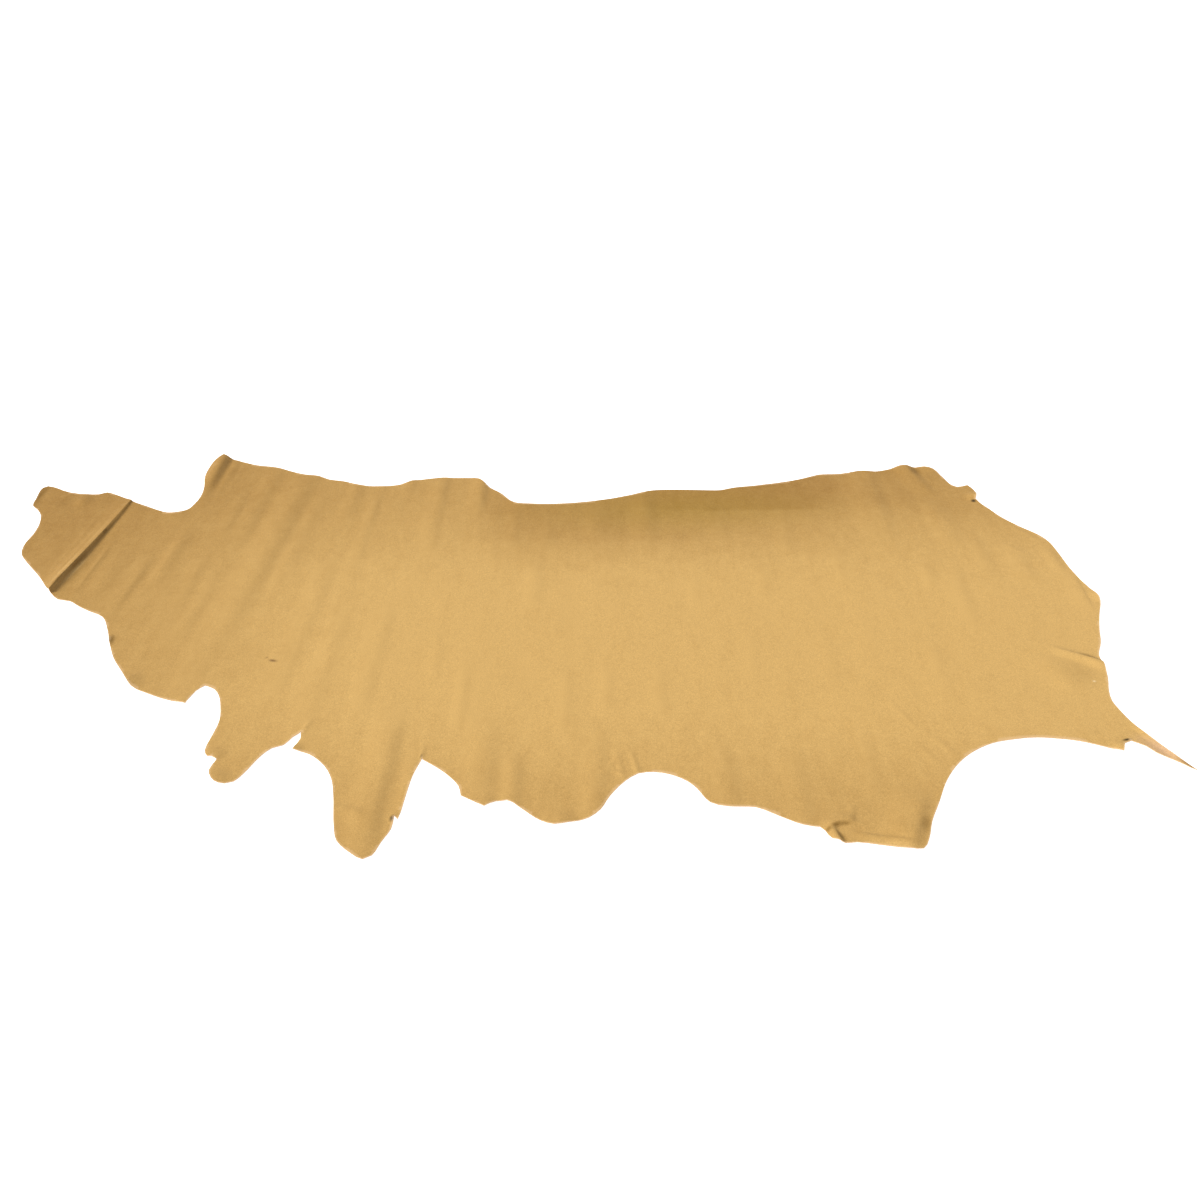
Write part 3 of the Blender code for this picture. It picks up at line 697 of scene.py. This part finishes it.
def hide_sheet():
    """The hide's grain side as one fine sheet, in the frame of the solid."""
    ring = cut_edge(CUT_EDGE, EDGE_STEP)
    strong = strong_fold_places()
    strong = thinned(strong[inside_of(ring, strong)], [], FOLD_GAP)
    even = column_places(ring)
    even = thinned(even[inside_of(ring, even)], strong, EVEN_GAP)
    places = np.vstack([strong, even])
    places = places[clear_of(ring, places, EDGE_GAP, True)]
    lines = []
    for fold in FOLDS:
        if fold.peak != SHARP:
            continue
        count = round(math.hypot(fold.x1 - fold.x0, fold.y1 - fold.y0) * MM / CREST_STEP)
        crest = crest_line(fold, count)
        for aside in [-fold.left * share for share in CREASE_ROWS] + [0, fold.right]:
            lines.append(crest + np.array((aside * MM, 0)))
    for line in lines:
        places = places[clear_of(line, places, EDGE_GAP, False)]
    points = [Vector(p) for p in ring]
    edges = [(i, (i + 1) % len(ring)) for i in range(len(ring))]
    for line in lines:
        first = len(points)
        points += [Vector(p) for p in line]
        edges += [(first + i, first + i + 1) for i in range(len(line) - 1)]
    points += [Vector(p) for p in places]
    flat, _, faces, _, _, _ = delaunay_2d_cdt(points, edges, [], INSIDE_ONLY, SAME_POINT)
    mesh = bpy.data.meshes.new("hide")
    mesh.from_pydata([(p.x, p.y, 0) for p in flat], [], [list(f) for f in faces])
    shaped = bmesh.new()
    shaped.from_mesh(mesh)
    loose = [vertex for vertex in shaped.verts if not vertex.link_faces]
    bmesh.ops.delete(shaped, geom=loose, context="VERTS")
    bmesh.ops.subdivide_edges(shaped, edges=shaped.edges, cuts=DIVISIONS, use_grid_fill=True)
    bmesh.ops.recalc_face_normals(shaped, faces=shaped.faces)
    if sum(face.normal.z for face in shaped.faces) < 0:
        bmesh.ops.reverse_faces(shaped, faces=shaped.faces)
    flat = np.array([vertex.co.xy for vertex in shaped.verts])
    height = surface_height(flat) + LEATHER_THICKNESS
    middle = (ring.max(axis=0) + ring.min(axis=0)) / 2
    inner = [not vertex.is_boundary for vertex in shaped.verts]
    for vertex, place, top in zip(shaped.verts, flat - middle, height):
        vertex.co = (*place, top)
    shaped.to_mesh(mesh)
    shaped.free()
    to_edge = mesh.attributes.new("to_edge", "FLOAT", "POINT")
    to_edge.data.foreach_set("value", np.where(inner, FIRST_ROW_IN, 0.0))
    return mesh, middle


def add_node(tree, kind, settings=None, inputs=None):
    """Adds one shader node, with its settings, and its inputs set or joined."""
    node = tree.nodes.new(kind)
    for name, value in (settings or {}).items():
        setattr(node, name, value)
    for name, value in (inputs or {}).items():
        if isinstance(value, bpy.types.NodeSocket):
            tree.links.new(value, node.inputs[name])
        else:
            node.inputs[name].default_value = value
    return node


def maths(tree, operation, *values):
    """The result of one sum on numbers or sockets."""
    inputs = dict(enumerate(values))
    return add_node(tree, "ShaderNodeMath", {"operation": operation}, inputs).outputs[0]


def ramp(tree, value, low, high, to_low=0.0, to_high=1.0):
    """The value eased from to_low at low to to_high at high."""
    inputs = {
        "Value": value,
        "From Min": low,
        "From Max": high,
        "To Min": to_low,
        "To Max": to_high,
    }
    settings = {"interpolation_type": "SMOOTHSTEP"}
    return add_node(tree, "ShaderNodeMapRange", settings, inputs).outputs["Result"]


def noise_at(tree, place, scale, detail=2.0, roughness=0.5):
    """Soft noise around a half, at so many waves per metre."""
    inputs = {"Vector": place, "Scale": scale, "Detail": detail, "Roughness": roughness}
    return add_node(tree, "ShaderNodeTexNoise", None, inputs).outputs["Fac"]


def patches(tree, place, row):
    """The noise of a row of the dye's tables, around nought."""
    fac = noise_at(tree, place, row.scale, row.detail)
    return maths(tree, "MULTIPLY_ADD", fac, row.amount, -row.amount / 2)


def spot(tree, place, x, y, along, across, turn):
    """A soft oval mask: 1 at x, y and 0 from its edge on. In millimetres and degrees."""
    inputs = {
        "Vector": place,
        "Location": (x * MM, y * MM, 0),
        "Rotation": (0, 0, math.radians(turn)),
        "Scale": (along * MM, across * MM, 1),
    }
    oval = add_node(tree, "ShaderNodeMapping", {"vector_type": "TEXTURE"}, inputs).outputs[0]
    flat = add_node(
        tree, "ShaderNodeVectorMath", {"operation": "MULTIPLY"}, {0: oval, 1: (1, 1, 0)}
    ).outputs[0]
    length = add_node(tree, "ShaderNodeVectorMath", {"operation": "LENGTH"}, {0: flat})
    return ramp(tree, length.outputs["Value"], 0.0, 1.0, 1.0, 0.0)


def hide_place(tree, middle):
    """Object coordinates in the frame of the tables."""
    place = add_node(tree, "ShaderNodeTexCoord").outputs["Object"]
    moved = add_node(
        tree,
        "ShaderNodeVectorMath",
        {"operation": "ADD"},
        {0: place, 1: (middle[0], middle[1], 0)},
    )
    return moved.outputs[0]


# The dye's unevenness. Each row is one noise: its waves per metre, its detail and how far it reaches.
Patch = namedtuple("Patch", "scale detail amount")

DYE_PATCHES = (
    Patch(7.0, 3.0, 0.12),
    Patch(30.0, 3.0, 0.20),
    Patch(130.0, 3.0, 0.26),
    Patch(330.0, 2.0, 0.20),
)
STREAKS = Patch(60.0, 2.0, 0.24)
STREAK_STRETCH = (1.0, 0.28, 1.0)
BLOCK_WANDER = Patch(9.0, 2.0, 0.03)

# The fine speckle's brightness: its lowest, and how far the noise lifts it.
SPECKLES_PER_METRE = 640.0
SPECKLE_LOW = 0.6
SPECKLE_RANGE = 0.8

# The grain's relief: how close its pebbles and pores lie, and the depth of its bumps.
PEBBLES_PER_METRE = 620.0
PORES_PER_METRE = 260.0
GRAIN_DEPTH = 0.4 * MM
FLESH_FIBRES_PER_METRE = 900.0
FLESH_DEPTH = 0.6 * MM
EDGE_FIBRES_PER_METRE = 2200.0
EDGE_DEPTH = 0.3 * MM

# Where the grain's colour is made darker over the whole hide, towards the back line, the neck and the
# belly edge. Each row is a step along x or y: the mask goes from nought at start to full at end, in
# metres.
Shade = namedtuple("Shade", "axis start end full")

BROAD_SHADES = (
    Shade("Y", 0.02, 0.52, 0.44),
    Shade("X", -0.20, -1.10, 0.62),
    Shade("Y", -0.28, -0.64, 0.34),
)

# Where it lies darker in blocks towards the back line: above low to high, from left to right with
# soft sides, in metres.
Block = namedtuple("Block", "low high left right soft full")

BACK_BLOCKS = (
    Block(0.382, 0.398, 0.26, 0.64, 0.05, 0.54),
    Block(0.330, 0.520, -0.10, 0.90, 0.10, 0.20),
    Block(0.150, 0.350, -0.10, 0.66, 0.08, 0.24),
    Block(0.340, 0.400, -0.09, 0.03, 0.03, 0.20),
    Block(0.320, 0.440, 0.66, 1.08, 0.05, 0.23),
    Block(0.490, 0.560, 0.80, 1.02, 0.03, 0.18),
    Block(0.160, 0.340, -1.15, -0.88, 0.04, 0.10),
    Block(0.390, 0.480, 0.42, 0.70, 0.06, 0.22),
    Block(0.330, 0.400, 0.08, 0.62, 0.08, 0.16),
    Block(0.245, 0.270, -0.12, 0.36, 0.05, 0.13),
    Block(0.125, 0.150, -0.06, 0.20, 0.05, 0.07),
    Block(0.120, 0.300, -0.05, 0.44, 0.10, 0.12),
    Block(0.400, 0.520, 0.60, 0.72, 0.03, 0.20),
    Block(0.380, 0.600, -0.83, -0.72, 0.04, 0.16),
)


def shade_mask(tree, place):
    """How dark the grain's colour is made, from 0 in the bright middle to 1 at the back line and the
    neck.
    """
    axes = add_node(tree, "ShaderNodeSeparateXYZ", None, {"Vector": place}).outputs
    bright = 1.0
    for row in BROAD_SHADES:
        step = (row.end - row.start) / abs(row.end - row.start)
        along = maths(tree, "MULTIPLY", axes[row.axis], step)
        dark = ramp(tree, along, row.start * step, row.end * step, 0.0, row.full)
        bright = maths(tree, "MULTIPLY", bright, maths(tree, "SUBTRACT", 1.0, dark))
    height = maths(tree, "ADD", axes["Y"], patches(tree, place, BLOCK_WANDER))
    for row in BACK_BLOCKS:
        block = ramp(tree, height, row.low, row.high, 0.0, row.full)
        for middle, to_low, to_high in ((row.left, 0.0, 1.0), (row.right, 1.0, 0.0)):
            low, high = middle - row.soft, middle + row.soft
            share = ramp(tree, axes["X"], low, high, to_low, to_high)
            block = maths(tree, "MULTIPLY", block, share)
        bright = maths(tree, "MULTIPLY", bright, maths(tree, "SUBTRACT", 1.0, block))
    return maths(tree, "SUBTRACT", 1.0, bright)


def fibre_group():
    """Loose fibre, for the flesh side and the cut edge: a tone and a height."""
    tree = bpy.data.node_groups.new("leather_fibre", "ShaderNodeTree")
    sockets = tree.interface
    sockets.new_socket("Place", in_out="INPUT", socket_type="NodeSocketVector")
    sockets.new_socket("Fibres per metre", in_out="INPUT", socket_type="NodeSocketFloat")
    sockets.new_socket("Tone", in_out="OUTPUT", socket_type="NodeSocketFloat")
    sockets.new_socket("Height", in_out="OUTPUT", socket_type="NodeSocketFloat")
    given = tree.nodes.new("NodeGroupInput").outputs
    made = tree.nodes.new("NodeGroupOutput").inputs
    broad = noise_at(tree, given["Place"], 14.0, 3.0)
    fine = noise_at(tree, given["Place"], given["Fibres per metre"], 4.0, 0.7)
    tone = maths(tree, "MULTIPLY_ADD", fine, 0.5, maths(tree, "MULTIPLY", broad, 0.5))
    tree.links.new(tone, made["Tone"])
    tree.links.new(fine, made["Height"])
    return tree


def principled(name, roughness):
    """A new material with its shader, and the tree that it is in."""
    material = bpy.data.materials.new(name)
    material.use_nodes = True
    tree = material.node_tree
    shader = tree.nodes["Principled BSDF"]
    shader.inputs["Roughness"].default_value = roughness
    return material, tree, shader


def mixed(tree, share, first, second):
    """The two colours mixed by the share of the second."""
    node = add_node(tree, "ShaderNodeMix", {"data_type": "RGBA"}, {"Factor": share})
    for socket, colour in ((node.inputs[6], first), (node.inputs[7], second)):
        if isinstance(colour, bpy.types.NodeSocket):
            tree.links.new(colour, socket)
        else:
            socket.default_value = (*colour, 1)
    return node.outputs[2]


def bumped(tree, shader, height, strength, depth):
    """Joins a height to the shader as a bump of the given depth."""
    bump = add_node(
        tree,
        "ShaderNodeBump",
        None,
        {"Height": height, "Strength": strength, "Distance": depth},
    )
    tree.links.new(bump.outputs["Normal"], shader.inputs["Normal"])


LIGHT_TAN = (0.578, 0.357, 0.117)
DARK_OLIVE = (0.318, 0.164, 0.036)
BACK_OLIVE = (0.300, 0.190, 0.020)
SCAR_BROWN = (0.17, 0.085, 0.03)
FLECK_CREAM = (0.80, 0.62, 0.36)
# Painted shadow, painted shade and painted highlight colours for the marks table.
PAINTED_SLIT_SHADOW = (0.035, 0.022, 0.008)
PAINTED_SHADE_BROWN = (0.165, 0.078, 0.006)
PAINTED_HIGHLIGHT_TAN = (0.72, 0.47, 0.18)
TAIL_FLESH = (0.545, 0.350, 0.260)
PALE_RIM = (0.80, 0.55, 0.32)
PALE_RIM_SHARE = 0.35
PALE_RIM_FROM = 0.6 * MM
PALE_RIM_TO = 2.6 * MM
FLESH_DARK = (0.30, 0.225, 0.175)
FLESH_LIGHT = (0.52, 0.42, 0.34)
FIBRE_DARK = (0.50, 0.33, 0.20)
FIBRE_LIGHT = (0.74, 0.52, 0.34)
FLOOR_DARK = (0.87, 0.87, 0.865)
FLOOR_LIGHT = (0.89, 0.89, 0.885)

# Small marks on the grain, and painted shade and highlights on its creases, slits and curled edges:
# soft ovals, in millimetres and degrees, each laid over those before it.
MarkOrPaintedShading = namedtuple("MarkOrPaintedShading", "name x y along across turn full tint")

MARKS_AND_PAINTED_SHADING = (
    MarkOrPaintedShading("olive back", 330, 400, 480, 150, 3, 0.34, BACK_OLIVE),
    MarkOrPaintedShading("scar", -462, -173, 14, 6, -20, 0.85, SCAR_BROWN),
    MarkOrPaintedShading("scar's dot", -475, -163, 4, 4, 0, 0.5, SCAR_BROWN),
    MarkOrPaintedShading("pale fleck", 1045, -235, 5, 4, 0, 0.8, FLECK_CREAM),
    # Painted shadow: the tab slit and the slit end are darkened where the lifted leather beside them
    # shades them.
    MarkOrPaintedShading("tab slit", 997, 431, 9, 9, 0, 1.0, PAINTED_SLIT_SHADOW),
    MarkOrPaintedShading("slit end", -152, -441, 4, 9, 0, 0.45, PAINTED_SLIT_SHADOW),
    # Painted shade: the pleat's mouths and gap, the hind corner's curl, the butt's hollow and crease,
    # the rump's curled corner, the neck tip, the flap and the curled chest edge are darkened where
    # they lie in shade.
    MarkOrPaintedShading("pleat mouth 1", 502, -612, 11, 6, 52, 0.65, PAINTED_SHADE_BROWN),
    MarkOrPaintedShading("pleat mouth 2", 516, -602, 14, 7, 26, 0.7, PAINTED_SHADE_BROWN),
    MarkOrPaintedShading("pleat mouth 3", 531, -598, 15, 6.5, 6, 0.55, PAINTED_SHADE_BROWN),
    MarkOrPaintedShading("pleat gap", 521, -626, 9, 16, 25, 0.4, PAINTED_SHADE_BROWN),
    MarkOrPaintedShading("hind corner", 657, -598, 14, 28, -20, 0.38, PAINTED_SHADE_BROWN),
    MarkOrPaintedShading("butt hollow", 1022, -205, 80, 62, 0, 0.09, PAINTED_SHADE_BROWN),
    MarkOrPaintedShading("butt crease", 1063, -161, 28, 10, -36, 0.45, PAINTED_SHADE_BROWN),
    MarkOrPaintedShading("rump shade", 895, 574, 22, 30, 0, 0.42, PAINTED_SHADE_BROWN),
    MarkOrPaintedShading("neck tip shade", -1137, 452, 8, 44, -4, 0.45, PAINTED_SHADE_BROWN),
    MarkOrPaintedShading("flap shade", -1070, 425, 46, 30, 0, 0.12, PAINTED_SHADE_BROWN),
    MarkOrPaintedShading("chest edge", -710, -237, 9, 3, 35, 0.5, PAINTED_SHADE_BROWN),
    MarkOrPaintedShading("chest curl", -783, -107, 7, 24, 12, 0.55, PAINTED_SHADE_BROWN),
    # Painted shadow: the notch and the tail slit are near black where the floor between their lips
    # lies in shadow.
    MarkOrPaintedShading("notch slit", -179.5, -587, 8, 11, 0, 1.0, PAINTED_SLIT_SHADOW),
    MarkOrPaintedShading("tail slit", 1045, -397, 13, 5, 18, 1.0, PAINTED_SLIT_SHADOW),
    MarkOrPaintedShading("tail flesh", 1097, -425, 70, 30, -48, 0.48, TAIL_FLESH),
    MarkOrPaintedShading("tail tip", 1128, -460, 34, 11, -48, 0.8, SCAR_BROWN),
    # Painted highlights: the lit flank left of the neck crease and the lit roll of the hind hem.
    MarkOrPaintedShading("crease light 1", -961, 150, 6, 90, -7.3, 0.25, PAINTED_HIGHLIGHT_TAN),
    MarkOrPaintedShading("crease light 2", -946, 280, 6, 110, -6.5, 0.15, PAINTED_HIGHLIGHT_TAN),
    MarkOrPaintedShading("hem light", 590, -644, 74, 12, -6, 0.3, PAINTED_HIGHLIGHT_TAN),
    # Painted shade: the neck crease's shadow and the neck ripple's shaded flank.
    MarkOrPaintedShading("crease shade", -934, 150, 15, 130, -6, 0.09, PAINTED_SHADE_BROWN),
    MarkOrPaintedShading("neck line", -906, 150, 4, 120, -3, 0.16, PAINTED_SHADE_BROWN),
    # A painted highlight lifts the shadow on the crease's lee; the rows after it paint the shade of
    # the crease's dark line and foot.
    MarkOrPaintedShading("crease lee", -941.5, 140, 6.5, 78, -9, 0.5, PAINTED_HIGHLIGHT_TAN),
    MarkOrPaintedShading("crease foot", -959.5, 92, 4.5, 38, -8, 0.6, PAINTED_SHADE_BROWN),
    MarkOrPaintedShading("crease low", -944.5, 170, 3.8, 90, -7, 0.5, PAINTED_SHADE_BROWN),
    MarkOrPaintedShading("crease middle", -931.5, 290, 3.8, 100, -6.5, 0.5, PAINTED_SHADE_BROWN),
    MarkOrPaintedShading("crease top", -920.5, 405, 3.5, 64, -5.5, 0.5, PAINTED_SHADE_BROWN),
)


def grain_leather(middle):
    """The dyed grain side: tan with a gold cast, darker towards the back line and the neck, with
    marks, and painted shade and highlights on its creases, slits and curled edges.
    """
    material, tree, shader = principled("grain_leather", 0.5)
    place = hide_place(tree, middle)
    shade = shade_mask(tree, place)
    for row in DYE_PATCHES:
        shade = maths(tree, "ADD", shade, patches(tree, place, row))
    streak_place = add_node(
        tree, "ShaderNodeVectorMath", {"operation": "MULTIPLY"}, {0: place, 1: STREAK_STRETCH}
    ).outputs[0]
    shade = maths(tree, "ADD", shade, patches(tree, streak_place, STREAKS))
    colour = mixed(tree, shade, LIGHT_TAN, DARK_OLIVE)
    # The marks, and the painted shade and highlights, laid over the colour.
    for row in MARKS_AND_PAINTED_SHADING:
        mark_or_shading = spot(tree, place, row.x, row.y, row.along, row.across, row.turn)
        colour = mixed(tree, maths(tree, "MULTIPLY", mark_or_shading, row.full), colour, row.tint)
    specks = noise_at(tree, place, SPECKLES_PER_METRE)
    speckle = maths(tree, "MULTIPLY_ADD", specks, SPECKLE_RANGE, SPECKLE_LOW)
    colour = add_node(
        tree, "ShaderNodeVectorMath", {"operation": "SCALE"}, {0: colour, "Scale": speckle}
    ).outputs[0]
    # The grain's colour turns pale along the cut edge.
    edge = add_node(tree, "ShaderNodeAttribute", {"attribute_name": "to_edge"}).outputs["Fac"]
    pale_rim = ramp(tree, edge, PALE_RIM_FROM, PALE_RIM_TO, PALE_RIM_SHARE, 0.0)
    colour = mixed(tree, pale_rim, colour, PALE_RIM)
    tree.links.new(colour, shader.inputs["Base Color"])
    shader.inputs["Specular IOR Level"].default_value = 0.22
    rough = maths(tree, "MULTIPLY_ADD", noise_at(tree, place, 60.0), 0.2, 0.5)
    tree.links.new(rough, shader.inputs["Roughness"])
    pebbles = add_node(
        tree,
        "ShaderNodeTexVoronoi",
        {"feature": "SMOOTH_F1"},
        {"Vector": place, "Scale": PEBBLES_PER_METRE, "Smoothness": 0.35},
    ).outputs["Distance"]
    pores = noise_at(tree, place, PORES_PER_METRE, 4.0, 0.6)
    height = maths(tree, "MULTIPLY_ADD", pebbles, 0.5, pores)
    bumped(tree, shader, height, 0.35, GRAIN_DEPTH)
    return material


def fibrous(name, roughness, fibre, per_metre, colours, bump, depth):
    """A material of loose fibre between two colours, and its shader."""
    material, tree, shader = principled(name, roughness)
    place = add_node(tree, "ShaderNodeTexCoord").outputs["Object"]
    group = add_node(tree, "ShaderNodeGroup", {"node_tree": fibre})
    tree.links.new(place, group.inputs["Place"])
    group.inputs["Fibres per metre"].default_value = per_metre
    colour = mixed(tree, group.outputs["Tone"], *colours)
    tree.links.new(colour, shader.inputs["Base Color"])
    bumped(tree, shader, group.outputs["Height"], bump, depth)
    return material, shader


def flesh_suede(fibre):
    """The flesh side: matt, greyish and fibrous."""
    colours = FLESH_DARK, FLESH_LIGHT
    material, shader = fibrous(
        "flesh_suede", 0.95, fibre, FLESH_FIBRES_PER_METRE, colours, 0.5, FLESH_DEPTH
    )
    shader.inputs["Sheen Weight"].default_value = 0.25
    return material


def raw_edge(fibre):
    """The cut edge: bare fibre."""
    colours = FIBRE_DARK, FIBRE_LIGHT
    return fibrous("raw_edge", 0.9, fibre, EDGE_FIBRES_PER_METRE, colours, 0.4, EDGE_DEPTH)[0]


def studio_floor():
    """A wide pale floor just under the leather."""
    bpy.ops.mesh.primitive_plane_add(size=FLOOR_SIZE, location=(0, 0, -FLOOR_DROP))
    floor = bpy.context.object
    floor.name = "studio_floor"
    material, tree, shader = principled("pale_floor", 0.85)
    place = add_node(tree, "ShaderNodeTexCoord").outputs["Object"]
    cloud = noise_at(tree, place, 1.2)
    colour = mixed(tree, cloud, FLOOR_DARK, FLOOR_LIGHT)
    tree.links.new(colour, shader.inputs["Base Color"])
    shader.inputs["Specular IOR Level"].default_value = 0.2
    shader.inputs["Emission Color"].default_value = (1.0, 1.0, 1.0, 1)
    shader.inputs["Emission Strength"].default_value = FLOOR_GLOW
    floor.data.materials.append(material)


def studio_light():
    """A wide soft key from the left and a little from the front, and an even pale room."""
    key = bpy.data.lights.new("key", "SUN")
    key.energy = KEY_ENERGY
    key.angle = math.radians(KEY_ANGLE)
    key.color = (1.0, 0.99, 0.97)
    lamp = bpy.data.objects.new("key", key)
    lamp.rotation_euler = Vector(KEY_FROM).to_track_quat("Z", "Y").to_euler()
    bpy.context.scene.collection.objects.link(lamp)
    room = bpy.data.worlds.new("room")
    room.use_nodes = True
    background = room.node_tree.nodes["Background"].inputs
    background["Color"].default_value = (0.97, 0.98, 1.0, 1)
    background["Strength"].default_value = ROOM_LIGHT
    bpy.context.scene.world = room
    bpy.context.scene.view_settings.view_transform = "Standard"


def camera(middle):
    """The photograph's view: from the belly side and above."""
    data = bpy.data.cameras.new("view")
    data.lens = CAMERA_LENS
    data.sensor_width = 36
    view = bpy.data.objects.new("view", data)
    view.location = Vector(CAMERA_PLACE) - Vector((*middle, 0))
    view.rotation_euler = (math.radians(90 - CAMERA_DOWN), 0, 0)
    bpy.context.scene.collection.objects.link(view)
    bpy.context.scene.camera = view


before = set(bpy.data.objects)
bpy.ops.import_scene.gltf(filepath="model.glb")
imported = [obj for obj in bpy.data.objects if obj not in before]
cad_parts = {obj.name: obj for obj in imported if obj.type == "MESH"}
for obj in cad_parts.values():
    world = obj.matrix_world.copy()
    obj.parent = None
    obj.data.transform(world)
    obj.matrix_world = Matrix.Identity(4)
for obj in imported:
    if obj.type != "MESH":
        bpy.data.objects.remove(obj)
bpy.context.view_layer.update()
bpy.ops.object.select_all(action="DESELECT")

mesh, middle = hide_sheet()
camera(middle)
studio_light()
studio_floor()

fibre = fibre_group()
hide = bpy.data.objects.new("hide", mesh)
bpy.context.scene.collection.objects.link(hide)
for finish in (grain_leather(middle), flesh_suede(fibre), raw_edge(fibre)):
    mesh.materials.append(finish)
mesh.shade_smooth()
thickness = hide.modifiers.new("thickness", "SOLIDIFY")
thickness.thickness = LEATHER_THICKNESS
thickness.offset = -1.0
thickness.use_even_offset = True
thickness.material_offset = 1
thickness.material_offset_rim = 2
bpy.ops.object.select_all(action="DESELECT")
hide.select_set(True)
bpy.context.view_layer.objects.active = hide
bpy.ops.object.modifier_apply(modifier="thickness")
finish_of_edge = {}
for face in mesh.polygons:
    for key in face.edge_keys:
        finish_of_edge.setdefault(key, set()).add(face.material_index)
for edge in mesh.edges:
    edge.use_edge_sharp = len(finish_of_edge[edge.key]) > 1

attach(hide, "root")
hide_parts("leather_side")
